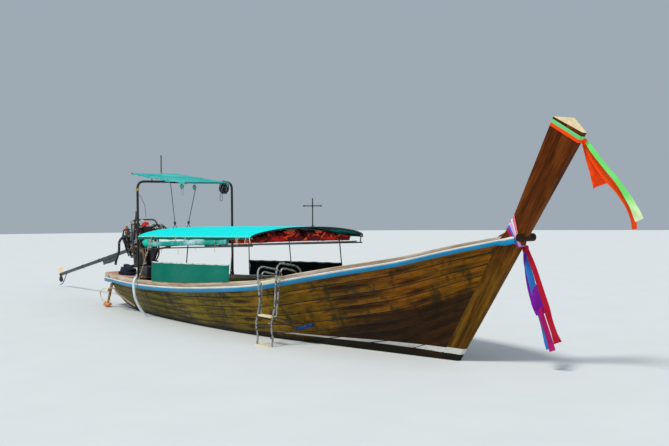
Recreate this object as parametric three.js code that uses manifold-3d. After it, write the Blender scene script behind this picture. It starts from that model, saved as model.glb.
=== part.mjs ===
import * as THREE from 'three';
import { mergeVertices } from 'three/addons/utils/BufferGeometryUtils.js';
import Module from 'manifold-3d';

// A wooden longtail boat, afloat, with its engine and long propeller shaft on a swivel at the stern.
// Millimetres, +X to the bow, +Y to port, +Z up. The origin is on the waterline and the centreline.

const wasm = await Module();
wasm.setup();

const boat = new THREE.Group();
const vec = (x, y, z) => new THREE.Vector3(x, y, z);
const radians = THREE.MathUtils.degToRad;
const steps = (from, to, by = 1) => Array.from({ length: Math.floor((to - from) / by) + 1 }, (_, n) => from + n * by);

// Clearances and thicknesses of the hull's timber
const GAP = 0.5;
const PLANK = 24;
const RIB_DEPTH = 35;
const RIB_WIDTH = 30;
const RIB_HEAD = 60;
const KEEL_DEPTH = 60;
const RAIL_DEPTH = 26;
const RAIL_HEIGHT = 84;
const RAIL_SEAT = 2.6;
const STRIPE_HEIGHT = 28;
const STRIPE_DEPTH = 14;

// Hull stations from the transom to the stem. Each is a leaning plane that holds the planks' section:
// keelX and sheerX are where it meets the keel and the sheer, keelHalf and keelZ are the lower edge,
// bilgeY and bilgeZ round the bilge, sheerHalf and sheerZ are the upper edge.
const STATIONS = [
  // keelX, sheerX, keelHalf, keelZ, bilgeY, bilgeZ, sheerHalf, sheerZ
  [-4260, -4540, 45, -20, 450, -50, 575, 548],
  [-3650, -3720, 45, -120, 480, -130, 735, 552],
  [-2600, -2600, 45, -220, 580, -240, 900, 564],
  [-1400, -1400, 45, -275, 650, -280, 975, 598],
  [-200, -200, 45, -300, 665, -280, 1000, 666],
  [1000, 1000, 45, -305, 580, -240, 965, 766],
  [1900, 2000, 45, -295, 380, -140, 890, 920],
  [2500, 2850, 44, -265, 170, 20, 785, 1052],
  [3000, 3600, 42, -215, 80, 160, 620, 1172],
  [3380, 4280, 42, -155, 58, 380, 385, 1324],
  [3666, 4794, 44, -100, 66, 600, 130, 1434],
];
// Height of the board above the sheer along the hull
const BOARD_HEIGHTS = [
  // x, height
  [-5200, 72],
  [-2000, 70],
  [500, 56],
  [1500, 40],
  [5000, 40],
];
const HULL_STEPS = 30;
const GIRTH_STEPS = 8;

// The stem: its front edge and its rabbet are parallel straight lines above the water
const STEM_RAKE = 0.735;
const STEM_FOOT_X = 4000;
const RABBET_FOOT_X = 3740;
const STEM_FRONT_HALF = 32;
const STEM_HEAD = { frontX: 5860, frontZ: 2530, aftX: 5590, aftZ: 2708, aftHalf: 165 };
const APRON_DEPTH = 60;

// Engine, shaft and propeller: the shaft's axis crosses the swivel's axis at SHAFT_HEIGHT
const SWIVEL_X = -4300;
const SHAFT_HEIGHT = 1140;
const TILT_HEIGHT = 720;
const SHAFT_YAW = radians(-5.7);
const SHAFT_PITCH = radians(8.6);
const SHAFT_LENGTH = 5700;
const SHAFT_TUBE_RADIUS = 35;
const PROPELLER_RADIUS = 175;

// Canopy, arch and roof
const CANOPY = { aftX: -2530, foreX: 970, half: 955, aftEdge: 1335, foreEdge: 1397, aftCrown: 1478, foreCrown: 1522 };
const CLOTH = 6;
const ROD = 9;
const ARCH = { x: -2670, top: 2245, radius: 20, bend: 90 };
const ROOF = { aftX: -3900, foreX: -1980, starboardY: -400, portY: 450, aftZ: 2412.5, foreZ: 2202.5 };
const POLE = { x: -3700, y: 50, topZ: 2745, radius: 15 };

// Solids

// Joins rings of points into one closed body. A ring lists one side of the section and then the
// other side backwards, so that point i faces point count - 1 - i across it, which closes the ends.
function loft(rings) {
  const count = rings[0].length;
  const positions = rings.flat().flatMap((p) => [p.x, p.y, p.z]);
  const faces = [];
  const quad = (a, b, c, d) => faces.push(a, b, c, a, c, d);
  for (let ring = 0; ring < rings.length - 1; ring++) {
    for (let i = 0; i < count; i++) {
      const next = (i + 1) % count;
      const base = ring * count;
      quad(base + i, base + next, base + count + next, base + count + i);
    }
  }
  const last = (rings.length - 1) * count;
  for (let i = 0; i < count / 2 - 1; i++) {
    const across = count - 1 - i;
    quad(i, across, across - 1, i + 1);
    quad(last + i, last + i + 1, last + across - 1, last + across);
  }
  const geometry = new THREE.BufferGeometry();
  geometry.setAttribute('position', new THREE.Float32BufferAttribute(positions, 3));
  geometry.setIndex(faces);
  return facingOut(welded(geometry));
}

function welded(geometry) {
  const bare = geometry.clone();
  bare.deleteAttribute('normal');
  bare.deleteAttribute('uv');
  return mergeVertices(bare, 1e-3);
}

function facingOut(geometry) {
  const place = geometry.attributes.position;
  const index = geometry.index.array;
  const corner = (i) => vec().fromBufferAttribute(place, index[i]);
  let volume = 0;
  for (let i = 0; i < index.length; i += 3) {
    volume += corner(i).dot(corner(i + 1).cross(corner(i + 2)));
  }
  if (volume < 0) {
    for (let i = 0; i < index.length; i += 3) {
      [index[i + 1], index[i + 2]] = [index[i + 2], index[i + 1]];
    }
  }
  return geometry;
}

function toManifold(geometry) {
  const mesh = welded(geometry);
  return new wasm.Manifold(new wasm.Mesh({
    numProp: 3,
    vertProperties: Float32Array.from(mesh.attributes.position.array),
    triVerts: Uint32Array.from(mesh.index.array),
  }));
}

function fromManifold(solid) {
  const mesh = solid.getMesh();
  const geometry = new THREE.BufferGeometry();
  geometry.setAttribute('position', new THREE.BufferAttribute(Float32Array.from(mesh.vertProperties), 3));
  geometry.setIndex(new THREE.BufferAttribute(Uint32Array.from(mesh.triVerts), 1));
  return geometry;
}

const join = (...pieces) => fromManifold(pieces.map(toManifold).reduce((whole, piece) => whole.add(piece)));
const cut = (piece, ...tools) => fromManifold(tools.map(toManifold).reduce((whole, tool) => whole.subtract(tool),
  toManifold(piece)));
const common = (a, b) => fromManifold(toManifold(a).intersect(toManifold(b)));

function block(lowX, highX, lowY, highY, lowZ, highZ) {
  const geometry = new THREE.BoxGeometry(highX - lowX, highY - lowY, highZ - lowZ);
  return geometry.translate((lowX + highX) / 2, (lowY + highY) / 2, (lowZ + highZ) / 2);
}

// A straight round bar from one point to another; endRadius makes it taper
function rod(from, to, radius, sides = 8, endRadius = radius) {
  const along = to.clone().sub(from);
  const geometry = new THREE.CylinderGeometry(endRadius, radius, along.length(), sides);
  geometry.applyQuaternion(new THREE.Quaternion().setFromUnitVectors(vec(0, 1, 0), along.clone().normalize()));
  const middle = from.clone().add(to).multiplyScalar(0.5);
  return geometry.translate(middle.x, middle.y, middle.z);
}

// A round bar bent at each point, with its corners mitred
function pipe(points, radius, sides = 6) {
  const between = (n) => points[Math.min(n + 1, points.length - 1)].clone().sub(points[Math.max(n, 0)]).normalize();
  let side = vec(0, 0, 1).cross(between(0));
  if (side.length() < 0.1) side = vec(1, 0, 0);
  return loft(points.map((p, n) => {
    const before = between(Math.max(n - 1, 0));
    const after = between(Math.min(n, points.length - 2));
    const forward = before.clone().add(after).normalize();
    side.addScaledVector(forward, -side.dot(forward)).normalize();
    const up = forward.clone().cross(side);
    return steps(0, sides - 1).map((k) => {
      const angle = 2 * Math.PI * (k + 0.5) / sides;
      return p.clone().addScaledVector(side, radius * Math.cos(angle)).addScaledVector(up, radius * Math.sin(angle));
    });
  }));
}

// A round tube along a smooth curve through the points
function bentTube(points, radius, steps, sides = 8) {
  const shape = new THREE.Shape().absarc(0, 0, radius, 0, 2 * Math.PI);
  const path = new THREE.CatmullRomCurve3(points);
  return new THREE.ExtrudeGeometry(shape, {
    extrudePath: path, steps, curveSegments: sides / 2, bevelEnabled: false,
  });
}

// A flat strap along a smooth curve, its width kept level across the curve
function strap(points, width, thickness, steps, across = vec(0, 1, 0)) {
  const path = new THREE.CatmullRomCurve3(points);
  const rings = [];
  for (let i = 0; i <= steps; i++) {
    const middle = path.getPoint(i / steps);
    const normal = path.getTangent(i / steps).cross(across).normalize().multiplyScalar(thickness / 2);
    const side = across.clone().multiplyScalar(width / 2);
    rings.push([
      middle.clone().add(side).add(normal), middle.clone().sub(side).add(normal),
      middle.clone().sub(side).sub(normal), middle.clone().add(side).sub(normal),
    ]);
  }
  return loft(rings);
}

function piece(name, geometry, colour, roughness, metalness = 0, parent = boat) {
  const material = new THREE.MeshStandardMaterial({ color: colour, roughness, metalness });
  const mesh = new THREE.Mesh(geometry, material);
  mesh.name = name;
  parent.add(mesh);
  return mesh;
}

const mirrored = (geometry) => facingOut(welded(geometry).scale(1, -1, 1));

function bothSides(name, geometry, colour, roughness) {
  piece(`${name}_port`, geometry, colour, roughness);
  piece(`${name}_starboard`, mirrored(geometry), colour, roughness);
}

// Hull surface, as a grid of flat facets that every piece on the hull follows

const column = (index) => STATIONS.map((row) => row[index]);
const [keelX, sheerX, keelHalf, keelZ, bilgeY, bilgeZ, sheerHalf, sheerZ] = [0, 1, 2, 3, 4, 5, 6, 7].map(column);
const bilgeX = STATIONS.map((row, i) => {
  const share = (bilgeZ[i] - keelZ[i]) / (sheerZ[i] - keelZ[i]);
  return keelX[i] + (sheerX[i] - keelX[i]) * share;
});
const smooth = (xs, ys, zs) => new THREE.CatmullRomCurve3(xs.map((x, i) => vec(x, ys[i], zs[i])), false,
  'catmullrom', 0.5);
const keelLine = smooth(keelX, keelHalf, keelZ);
const bilgeLine = smooth(bilgeX, bilgeY, bilgeZ);
const sheerLine = smooth(sheerX, sheerHalf, sheerZ);

// One grid station: points on the planks' outside with the directions up and out of the plank
function station(i) {
  const share = i / HULL_STEPS;
  const keel = keelLine.getPoint(share);
  const sheer = sheerLine.getPoint(share);
  const section = new THREE.QuadraticBezierCurve3(keel, bilgeLine.getPoint(share), sheer);
  const lean = vec(sheer.x - keel.x, 0, sheer.z - keel.z).normalize();
  return Array.from({ length: GIRTH_STEPS + 1 }, (_, j) => {
    const up = section.getTangent(j / GIRTH_STEPS);
    const out = vec(0, up.dot(lean), 0).addScaledVector(lean, -up.y).normalize();
    return { place: section.getPoint(j / GIRTH_STEPS), up, out };
  });
}
const GRID = Array.from({ length: HULL_STEPS + 1 }, (_, i) => station(i));

// A point of the port side: i along the grid, t from keel 0 to sheer 1, offset outwards
function skin(i, t, offset = 0) {
  const cell = Math.min(Math.floor(i), HULL_STEPS - 1);
  const row = Math.min(Math.floor(t * GIRTH_STEPS), GIRTH_STEPS - 1);
  const at = (a, b) => GRID[a][b].place.clone().addScaledVector(GRID[a][b].out, offset);
  const aft = at(cell, row).lerp(at(cell, row + 1), t * GIRTH_STEPS - row);
  const fore = at(cell + 1, row).lerp(at(cell + 1, row + 1), t * GIRTH_STEPS - row);
  return aft.lerp(fore, i - cell);
}

// The share of the girth where the port side has the given height
function girthAt(i, z, offset = 0) {
  let [low, high] = [0, 1];
  for (let pass = 0; pass < 30; pass++) {
    const middle = (low + high) / 2;
    if (skin(i, middle, offset).z < z) low = middle;
    else high = middle;
  }
  return low;
}

const skinAt = (i, z, offset = 0) => skin(i, girthAt(i, z, offset), offset);
const downFromSheer = (i, distance) => {
  const drop = GRID[i][GIRTH_STEPS].place.distanceTo(GRID[i][GIRTH_STEPS - 1].place);
  return 1 - distance / drop / GIRTH_STEPS;
};
const sideShares = steps(0, GIRTH_STEPS).map((j) => j / GIRTH_STEPS);
const stationNear = (x) => steps(0, HULL_STEPS).reduce((best, i) => (
  Math.abs(GRID[i][GIRTH_STEPS].place.x - x) < Math.abs(GRID[best][GIRTH_STEPS].place.x - x) ? i : best), 0);
const flip = (p) => vec(p.x, -p.y, p.z);

// Planking, keel and the boards along the sheer

const SEAM_ROW = 4;
const band = (rows) => loft(steps(0, HULL_STEPS).map((i) => [
  ...rows.map((t) => skin(i, t)), ...rows.toReversed().map((t) => skin(i, t, -PLANK)),
]));
const SEAM = 0.0011;
bothSides('lower_planking', band(sideShares.slice(0, SEAM_ROW + 1)), 0x7a4a18, 0.45);
bothSides('upper_planking', band([sideShares[SEAM_ROW] + SEAM, ...sideShares.slice(SEAM_ROW + 1)]), 0x7a4a18, 0.45);

piece('keel', loft(steps(0, HULL_STEPS).map((i) => {
  const outer = skin(i, 0);
  const inner = skin(i, 0, -PLANK);
  const lean = skin(i, 1).sub(outer).setY(0);
  const low = outer.clone().addScaledVector(lean, -KEEL_DEPTH / lean.z);
  const side = [low, outer, inner].map((p) => vec(p.x, p.y - GAP, p.z - GAP));
  return [...side, ...side.toReversed().map(flip)];
})), 0x4a2c12, 0.6);

// A strip along the sheer: corners as pairs of height above the sheer and distance outwards
function sheerPoint(i, height, offset) {
  if (height < 0) return skin(i, downFromSheer(i, -height), offset);
  const { place, up, out } = GRID[i][GIRTH_STEPS];
  return place.clone().addScaledVector(up, height).addScaledVector(out, offset);
}
const boardHeight = (i) => {
  const { x } = GRID[i][GIRTH_STEPS].place;
  const n = BOARD_HEIGHTS.findIndex((row) => row[0] > x);
  const [[x0, low], [x1, high]] = BOARD_HEIGHTS.slice(n - 1, n + 1);
  return low + (high - low) * (x - x0) / (x1 - x0);
};
const sheerStrip = (corners) => loft(steps(0, HULL_STEPS).map((i) => (
  corners(i).map(([height, offset]) => sheerPoint(i, height, offset)))));
bothSides('gunwale_board', sheerStrip((i) => [
  [GAP, -PLANK], [boardHeight(i), -PLANK], [boardHeight(i), 0], [GAP, 0],
]), 0xc9a083, 0.6);
bothSides('rub_rail', sheerStrip(() => [
  [-2, RAIL_SEAT], [-2, STRIPE_DEPTH], [-STRIPE_HEIGHT, STRIPE_DEPTH], [-STRIPE_HEIGHT - 2, RAIL_DEPTH],
  [-RAIL_HEIGHT + 8, RAIL_DEPTH], [-RAIL_HEIGHT, RAIL_SEAT],
]), 0x147db4, 0.45);

// Stem, with its head cut square, an apron behind the planks' ends and a peg through it

// frontX, frontZ, rabbetZ, apron: rows from the forefoot up to the sheer
const FOREFOOT = [
  [3660, -160, -159, 0],
  [3790, -138, -132, 0],
  [3905, -85, -100, 0],
];
const STEM_HEIGHTS = [0, 320, 640, 960, 1280];
const along = vec(STEM_RAKE, 0, 1).normalize();
const aftward = vec(-along.z, 0, along.x);

function stemRings(extra) {
  const ring = (front, rabbet, sideHalf, innerHalf, apron) => {
    const nose = front.clone().addScaledVector(aftward, -extra).setY(STEM_FRONT_HALF + extra);
    const step = rabbet.clone().addScaledVector(aftward, extra - GAP).setY(sideHalf + extra);
    const recess = step.clone().setY(innerHalf + extra);
    const back = rabbet.clone().addScaledVector(aftward, apron + extra - GAP).setY(innerHalf + extra - 6);
    const side = [nose, step, recess, back];
    return [...side, ...side.toReversed().map(flip)];
  };
  const rabbetAt = (z) => vec(RABBET_FOOT_X + STEM_RAKE * z, 0, z);
  const plankEnd = (z) => skinAt(HULL_STEPS, z).y;
  const lower = FOREFOOT.map(([frontX, frontZ, rabbetZ]) => (
    ring(vec(frontX, 0, frontZ), rabbetAt(rabbetZ), keelHalf.at(-1), keelHalf.at(-1) - PLANK - 1, 0)));
  const middle = STEM_HEIGHTS.map((z) => (
    ring(vec(STEM_FOOT_X + STEM_RAKE * z, 0, z), rabbetAt(z), plankEnd(z), plankEnd(z) - PLANK - 1, APRON_DEPTH)));
  const sheerHeight = sheerZ.at(-1);
  const half = sheerHalf.at(-1);
  const top = [
    ring(vec(STEM_FOOT_X + STEM_RAKE * sheerHeight, 0, sheerHeight), rabbetAt(sheerHeight), half, half - PLANK - 1,
      APRON_DEPTH),
    ring(vec(STEM_FOOT_X + STEM_RAKE * 1510, 0, 1510), rabbetAt(1510), 108, 104, 4),
    ring(vec(STEM_FOOT_X + STEM_RAKE * 1600, 0, 1600), rabbetAt(1600), 92, 88, 4),
    ring(vec(STEM_HEAD.frontX, 0, STEM_HEAD.frontZ), vec(STEM_HEAD.aftX, 0, STEM_HEAD.aftZ), STEM_HEAD.aftHalf,
      STEM_HEAD.aftHalf - 4, 4),
  ];
  return [...lower, ...middle, ...top];
}

const PEG = { x: 5035, z: 1455, radius: 44, starboardY: -90, portY: 140 };
const peg = (radius) => rod(vec(PEG.x, PEG.starboardY, PEG.z), vec(PEG.x, PEG.portY, PEG.z), radius, 12);
piece('stem_post', cut(loft(stemRings(0)), peg(PEG.radius + GAP)), 0x6b3a14, 0.45);
piece('bow_crosspiece', peg(PEG.radius), 0x2a1a0e, 0.6);

// A point on the inner face of the board along the sheer, or level with it above its top
function boardInner(i, z, clearance = GAP) {
  const { up } = GRID[i][GIRTH_STEPS];
  const inner = sheerPoint(i, 0, -PLANK - clearance);
  return inner.addScaledVector(up, (z - inner.z) / up.z);
}

// Transom, between the planks at the aft end

const DECK_THICKNESS = 24;
const STERN_DECK_Z = 616;
const STERN = { foreX: -3420, endHalf: 560 };
// Outline of the round stern, aft of the transom
const STERN_CURVE = [
  // x, half width
  [-4625, 557],
  [-4800, 530],
  [-4970, 472],
  [-5075, 375],
  [-5125, 230],
  [-5140, 80],
];
const TRANSOM_THICKNESS = 30;
piece('transom', loft([0, TRANSOM_THICKNESS].map((forward) => {
  const side = [...sideShares.map((t) => skin(0, t, -PLANK - GAP)), boardInner(0, STERN_DECK_Z - DECK_THICKNESS - GAP)];
  side.forEach((p) => p.setX(p.x + forward));
  return [...side, ...side.toReversed().map(flip)];
})), 0x5a3614, 0.5);

// Ribs, keelson and risers, fastened to each other

const RIB_STATIONS = steps(2, 28, 2);
const RIB_FACE = -(PLANK + 0.9);
const RIB_BACK = RIB_FACE - RIB_DEPTH;
const KEELSON = { half: 40, height: 35, bite: 8 };
const RISER = { top: 395, height: 45, depth: 22, bite: 3 };
const RISER_STATIONS = steps(stationNear(-2400), stationNear(2050));

// A rib ends a little below the sheer
function ribGirths(i) {
  const head = downFromSheer(i, RIB_HEAD);
  const middle = sideShares.filter((t) => t < head - 0.02 && skin(i, t, RIB_BACK).y > 30);
  return [...middle, head];
}

function rib(i) {
  const length = GRID[i + 1][GIRTH_STEPS].place.x - GRID[i - 1][GIRTH_STEPS].place.x;
  const spread = RIB_WIDTH / length;
  const ring = (t) => [
    skin(i - spread, t, RIB_FACE), skin(i + spread, t, RIB_FACE),
    skin(i + spread, t, RIB_BACK), skin(i - spread, t, RIB_BACK),
  ];
  const port = ribGirths(i).toReversed().map(ring);
  return loft([...port, ...port.toReversed().map((corners) => corners.map(flip))]);
}

const keelson = loft(RIB_STATIONS.map((i) => {
  const floor = skin(i, ribGirths(i)[0], RIB_BACK);
  const corners = [[-KEELSON.bite, KEELSON.half], [KEELSON.height, KEELSON.half]];
  const side = corners.map(([height, half]) => vec(floor.x, half, floor.z + height));
  return [...side, ...side.toReversed().map(flip)];
}));

const riser = loft(RISER_STATIONS.map((i) => {
  const near = RIB_BACK + RISER.bite;
  const far = near - RISER.depth;
  const corner = (z, offset) => skinAt(i, z, offset);
  return [
    corner(RISER.top - RISER.height, near), corner(RISER.top, near),
    corner(RISER.top, far), corner(RISER.top - RISER.height, far),
  ];
}));

piece('ribs_and_keelson', join(keelson, ...RIB_STATIONS.map(rib), riser, mirrored(riser)), 0x8a5a2a, 0.65);

// Floor boards, thwarts and decks

const FLOOR_Z = -55;
const FLOOR_THICKNESS = 20;
const FLOOR_STATIONS = RIB_STATIONS.filter((i) => i >= 4 && skinAt(i, FLOOR_Z, RIB_BACK).y > 170);
piece('floor_boards', loft(FLOOR_STATIONS.map((i) => {
  const edge = skinAt(i, FLOOR_Z, RIB_BACK);
  const side = [0, FLOOR_THICKNESS].map((height) => vec(edge.x, edge.y - GAP - 1.5, FLOOR_Z + height));
  return [...side, ...side.toReversed().map(flip)];
})), 0x9a7a52, 0.7);

const THWARTS = [-1750, -850, 50, 950, 1850];
const THWART = { width: 240, thickness: 28 };
THWARTS.forEach((x, n) => {
  const low = RISER.top + GAP;
  const ends = [x - THWART.width / 2, x + THWART.width / 2].map((edge) => (
    skinAt(stationNear(edge), low, RIB_BACK).y));
  const reach = Math.min(...ends) - 8;
  piece(`thwart_${n + 1}`, block(x - THWART.width / 2, x + THWART.width / 2, -reach, reach, low,
    low + THWART.thickness), 0xb08a58, 0.65);
});

const FOREDECK_STATIONS = steps(22, 29);
piece('foredeck', loft(FOREDECK_STATIONS.map((i) => {
  const head = skin(i, downFromSheer(i, RIB_HEAD), RIB_BACK);
  const edge = skinAt(i, head.z, -PLANK - 3);
  const side = [GAP, DECK_THICKNESS].map((height) => vec(edge.x, edge.y, head.z + height));
  return [...side, ...side.toReversed().map(flip)];
})), 0xa8642c, 0.55);

// The stern deck overhangs the transom and ends in a round stern with a rail round it
const sternLine = new THREE.CatmullRomCurve3([
  ...STERN_CURVE.map(([x, y]) => vec(x, y, 0)), ...STERN_CURVE.toReversed().map(([x, y]) => vec(x, -y, 0)),
]);
const sternRound = (outwards, sides = 18) => steps(0, sides).map((n) => {
  const along2 = sternLine.getTangent(n / sides);
  return sternLine.getPoint(n / sides).add(vec(along2.y, -along2.x, 0).multiplyScalar(outwards));
});
const deckHeights = [STERN_DECK_Z - DECK_THICKNESS, STERN_DECK_Z];
const deckRows = [
  ...steps(0, stationNear(STERN.foreX)).toReversed().map((i) => deckHeights.map((z) => boardInner(i, z, i ? 0.5 : 5))),
  ...sternRound(-4).slice(0, 9).map((p) => deckHeights.map((z) => p.clone().setZ(z))),
];
piece('stern_deck', loft(deckRows.map(([low, high]) => [low, high, flip(high), flip(low)])), 0x9c6a52, 0.7);

const transomX = (z) => sheerX[0] + (keelX[0] - sheerX[0]) * (sheerZ[0] - z) / (sheerZ[0] - keelZ[0]) - GAP;
// The stern rail carries the rub rail and the board round the stern: z, distance outwards
const STERN_RAIL = [[464, 27], [546, 27], [548, 14], [618, 14]];
const STERN_RAIL_INNER = 0.5;
const sternRings = STERN_RAIL.map(([z, outwards]) => sternRound(outwards).map((p) => p.setZ(z)));
const sternInner = STERN_RAIL.toReversed().map(([z]) => sternRound(STERN_RAIL_INNER).map((p) => p.setZ(z)));
const railSection = (n) => [...sternRings, ...sternInner].map((line) => line[n].clone());
const railEnd = (n) => railSection(n).map((p, corner) => {
  const inner = boardInner(0, p.z, 0).y + (corner < STERN_RAIL.length ? STERN_RAIL[corner][1] : 0);
  return p.set(transomX(p.z), Math.sign(p.y) * inner, p.z);
});
piece('stern_rail', loft([railEnd(0), ...steps(0, 18).map(railSection), railEnd(18)]), 0x147db4, 0.45);

// Canopy: a stick frame, a tight sheet over it with a hanging edge, and a curtain on each side

const canopyShare = (x) => (x - CANOPY.aftX) / (CANOPY.foreX - CANOPY.aftX);
const canopyEdge = (x) => CANOPY.aftEdge + (CANOPY.foreEdge - CANOPY.aftEdge) * canopyShare(x);
const canopyCrown = (x) => CANOPY.aftCrown + (CANOPY.foreCrown - CANOPY.aftCrown) * canopyShare(x)
  * (1.6 - 0.6 * canopyShare(x));
const POSTS = { port: [-2190, -955, 415], starboard: [-2060, -840, 470] };
const BOW_STATIONS = [-2520, -1950, -1380, -810, -240, 360, 955];
const EDGE_ROD = { in: 16, below: 14 };
const SIDE_RAIL = { aftX: -2520, foreX: 980, aftZ: 1145, foreZ: 1280, half: 935 };
const RACK = { bars: [-350, 50, 450, 850], slat: 420 };

function boardTop(x) {
  const places = GRID.map((row, i) => {
    const { place, up, out } = row[GIRTH_STEPS];
    return place.clone().addScaledVector(up, boardHeight(i)).addScaledVector(out, -PLANK / 2);
  });
  const n = places.findIndex((p) => p.x > x);
  return places[n - 1].clone().lerp(places[n], (x - places[n - 1].x) / (places[n].x - places[n - 1].x));
}

// Half the canopy's section at x, from the port edge to the crown, raised by lift
function canopyArc(x, lift, points = 5) {
  const rise = canopyCrown(x) - canopyEdge(x);
  return steps(0, points).map((n) => {
    const angle = Math.PI / 2 * n / points;
    return vec(x, (CANOPY.half + lift * 1.3) * Math.cos(angle), canopyEdge(x) + rise * Math.sin(angle) ** 1.25 + lift);
  });
}
const boardSlope = (x) => {
  const { up } = GRID[stationNear(x)][GIRTH_STEPS];
  return Math.abs(up.y / up.z);
};
const fullArc = (x, lift) => [...canopyArc(x, lift), ...canopyArc(x, lift).toReversed().slice(1).map(flip)];

const railZ = (x) => SIDE_RAIL.aftZ + (SIDE_RAIL.foreZ - SIDE_RAIL.aftZ) * (x - SIDE_RAIL.aftX)
  / (SIDE_RAIL.foreX - SIDE_RAIL.aftX);
const postFoot = (x, radius = ROD) => boardTop(x).add(vec(0, 0, radius * boardSlope(x) + 1.35));
const postTop = (x) => vec(x, CANOPY.half - EDGE_ROD.in, canopyEdge(x) - EDGE_ROD.below);
const sideStick = (x) => [postFoot(x), postTop(x).add(vec(0, 0, -ROD - 1.1))];
const sideFrame = (stations) => join(...[
  ...stations.map(sideStick),
  [vec(SIDE_RAIL.aftX, SIDE_RAIL.half, railZ(SIDE_RAIL.aftX)), vec(SIDE_RAIL.foreX, SIDE_RAIL.half, SIDE_RAIL.foreZ)],
  [vec(SIDE_RAIL.aftX + 12, SIDE_RAIL.half, railZ(SIDE_RAIL.aftX)), sideStick(SIDE_RAIL.aftX + 12)[1]],
  [vec(SIDE_RAIL.foreX - 40, SIDE_RAIL.half, SIDE_RAIL.foreZ), sideStick(CANOPY.foreX - 20)[1]],
].map(([from, to]) => rod(from, to, ROD, 6)));
piece('canopy_side_port', sideFrame(POSTS.port), 0x2a2622, 0.6);
piece('canopy_side_starboard', mirrored(sideFrame(POSTS.starboard)), 0x2a2622, 0.6);
const bows = BOW_STATIONS.map((x) => pipe(fullArc(x, -ROD - 0.45), ROD));
const edgeRod = rod(postTop(CANOPY.aftX + 10), postTop(CANOPY.foreX - 10), ROD, 6);
piece('canopy_bows', join(edgeRod, mirrored(edgeRod), ...bows), 0x2a2622, 0.6);

// A rack of slats across the side rails, under the stowed life jackets
const rackZ = (x) => railZ(x) + 2 * ROD + GAP;
const bars = RACK.bars.map((x) => rod(vec(x, -SIDE_RAIL.half, rackZ(x)), vec(x, SIDE_RAIL.half, rackZ(x)), ROD, 8));
const slat = rod(vec(RACK.bars[0] - 20, RACK.slat, rackZ(RACK.bars[0] - 20)), vec(RACK.bars.at(-1) + 20, RACK.slat,
  rackZ(RACK.bars.at(-1) + 20)), ROD, 8);
piece('stowage_rack', join(...bars, slat, mirrored(slat)), 0x2a2622, 0.6);

const VALANCE = { aftHeight: 118, foreHeight: 95, flare: 12 };
const SHEET_STATIONS = [CANOPY.aftX, ...BOW_STATIONS, CANOPY.foreX];
piece('canopy_sheet', loft(SHEET_STATIONS.map((x) => {
  const height = VALANCE.aftHeight + (VALANCE.foreHeight - VALANCE.aftHeight) * canopyShare(x);
  const hem = vec(x, CANOPY.half + VALANCE.flare, canopyEdge(x) - height);
  const outer = [hem.clone().add(vec(0, CLOTH, 0)), ...fullArc(x, CLOTH)];
  const inner = [hem, ...fullArc(x, 0)];
  outer.push(flip(outer[0]));
  inner.push(flip(inner[0]));
  return [...outer, ...inner.toReversed()];
})), 0x12cfc0, 0.6);

// Curtains hang on the posts: where they start and end, and the height of their upper edge there
const CURTAINS = {
  port: { aftX: -2200, foreX: 405, aftTop: 905, foreTop: 960 },
  starboard: { aftX: -2015, foreX: 455, aftTop: 962, foreTop: 1015 },
};
function sidePlane(x, z, outwards) {
  const foot = postFoot(x);
  const top = postTop(x);
  return vec(x, foot.y + (top.y - foot.y) * (z - foot.z) / (top.z - foot.z) + outwards, z);
}
function curtain({ aftX, foreX, aftTop, foreTop }) {
  return loft(steps(0, 6).map((n) => {
    const x = aftX + (foreX - aftX) * n / 6;
    const top = aftTop + (foreTop - aftTop) * n / 6;
    const low = boardTop(x).z + 1.2;
    const near = ROD + 1.1;
    return [
      sidePlane(x, low, near), sidePlane(x, top, near), sidePlane(x, top, near + CLOTH), sidePlane(x, low, near + CLOTH),
    ];
  }));
}
piece('side_curtain_port', curtain(CURTAINS.port), 0x0a7a64, 0.7);
piece('side_curtain_starboard', mirrored(curtain(CURTAINS.starboard)), 0x0a7a64, 0.7);

// Life jackets stowed on the rack under the canopy, one row on each side
const JACKETS = { aftX: -420, foreX: 900, nearY: 30, farY: 840, under: 32 };
bothSides('life_jackets', loft(steps(0, 3).map((n) => {
  const x = JACKETS.aftX + (JACKETS.foreX - JACKETS.aftX) * n / 3;
  const low = rackZ(x) + ROD + 0.4;
  const arc = canopyArc(x, -JACKETS.under, 12);
  const heightAt = (y) => arc.reduce((best, p) => (Math.abs(p.y - y) < Math.abs(best.y - y) ? p : best)).z;
  const rows = [JACKETS.farY, 450, JACKETS.nearY];
  return [...rows.map((y) => vec(x, y, heightAt(y))), ...rows.toReversed().map((y) => vec(x, y, low))];
})), 0xb8431c, 0.8);

// Light mast with a crossbar, on the crown of the foremost bow
const MAST = { x: 955, y: 75, height: 400, bar: 290, barHalf: 150, radius: 8.5 };
const mastFoot = vec(MAST.x, MAST.y, canopyCrown(MAST.x) + CLOTH - 0.6);
piece('canopy_mast', join(
  rod(mastFoot, mastFoot.clone().add(vec(0, 0, MAST.height)), MAST.radius),
  rod(mastFoot.clone().add(vec(0, -MAST.barHalf, MAST.bar)), mastFoot.clone().add(vec(0, MAST.barHalf, MAST.bar)),
    MAST.radius, 6),
  block(MAST.x - 15, MAST.x + 15, MAST.y - 30, MAST.y + 30, mastFoot.z, mastFoot.z + 6),
), 0x6a6a66, 0.5, 0.4);

// Stern arch and the small roof on it

const archFoot = postFoot(ARCH.x, ARCH.radius).add(vec(0, -12, -4.1));
const archCorner = [
  vec(ARCH.x, archFoot.y, ARCH.top - ARCH.bend),
  vec(ARCH.x, archFoot.y - ARCH.bend * 0.3, ARCH.top - ARCH.bend * 0.3),
  vec(ARCH.x, archFoot.y - ARCH.bend, ARCH.top),
];
const archPath = [archFoot, ...archCorner];
piece('stern_arch', pipe([...archPath, ...archPath.toReversed().map(flip)], ARCH.radius, 12), 0x15171a, 0.4, 0.5);

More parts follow.
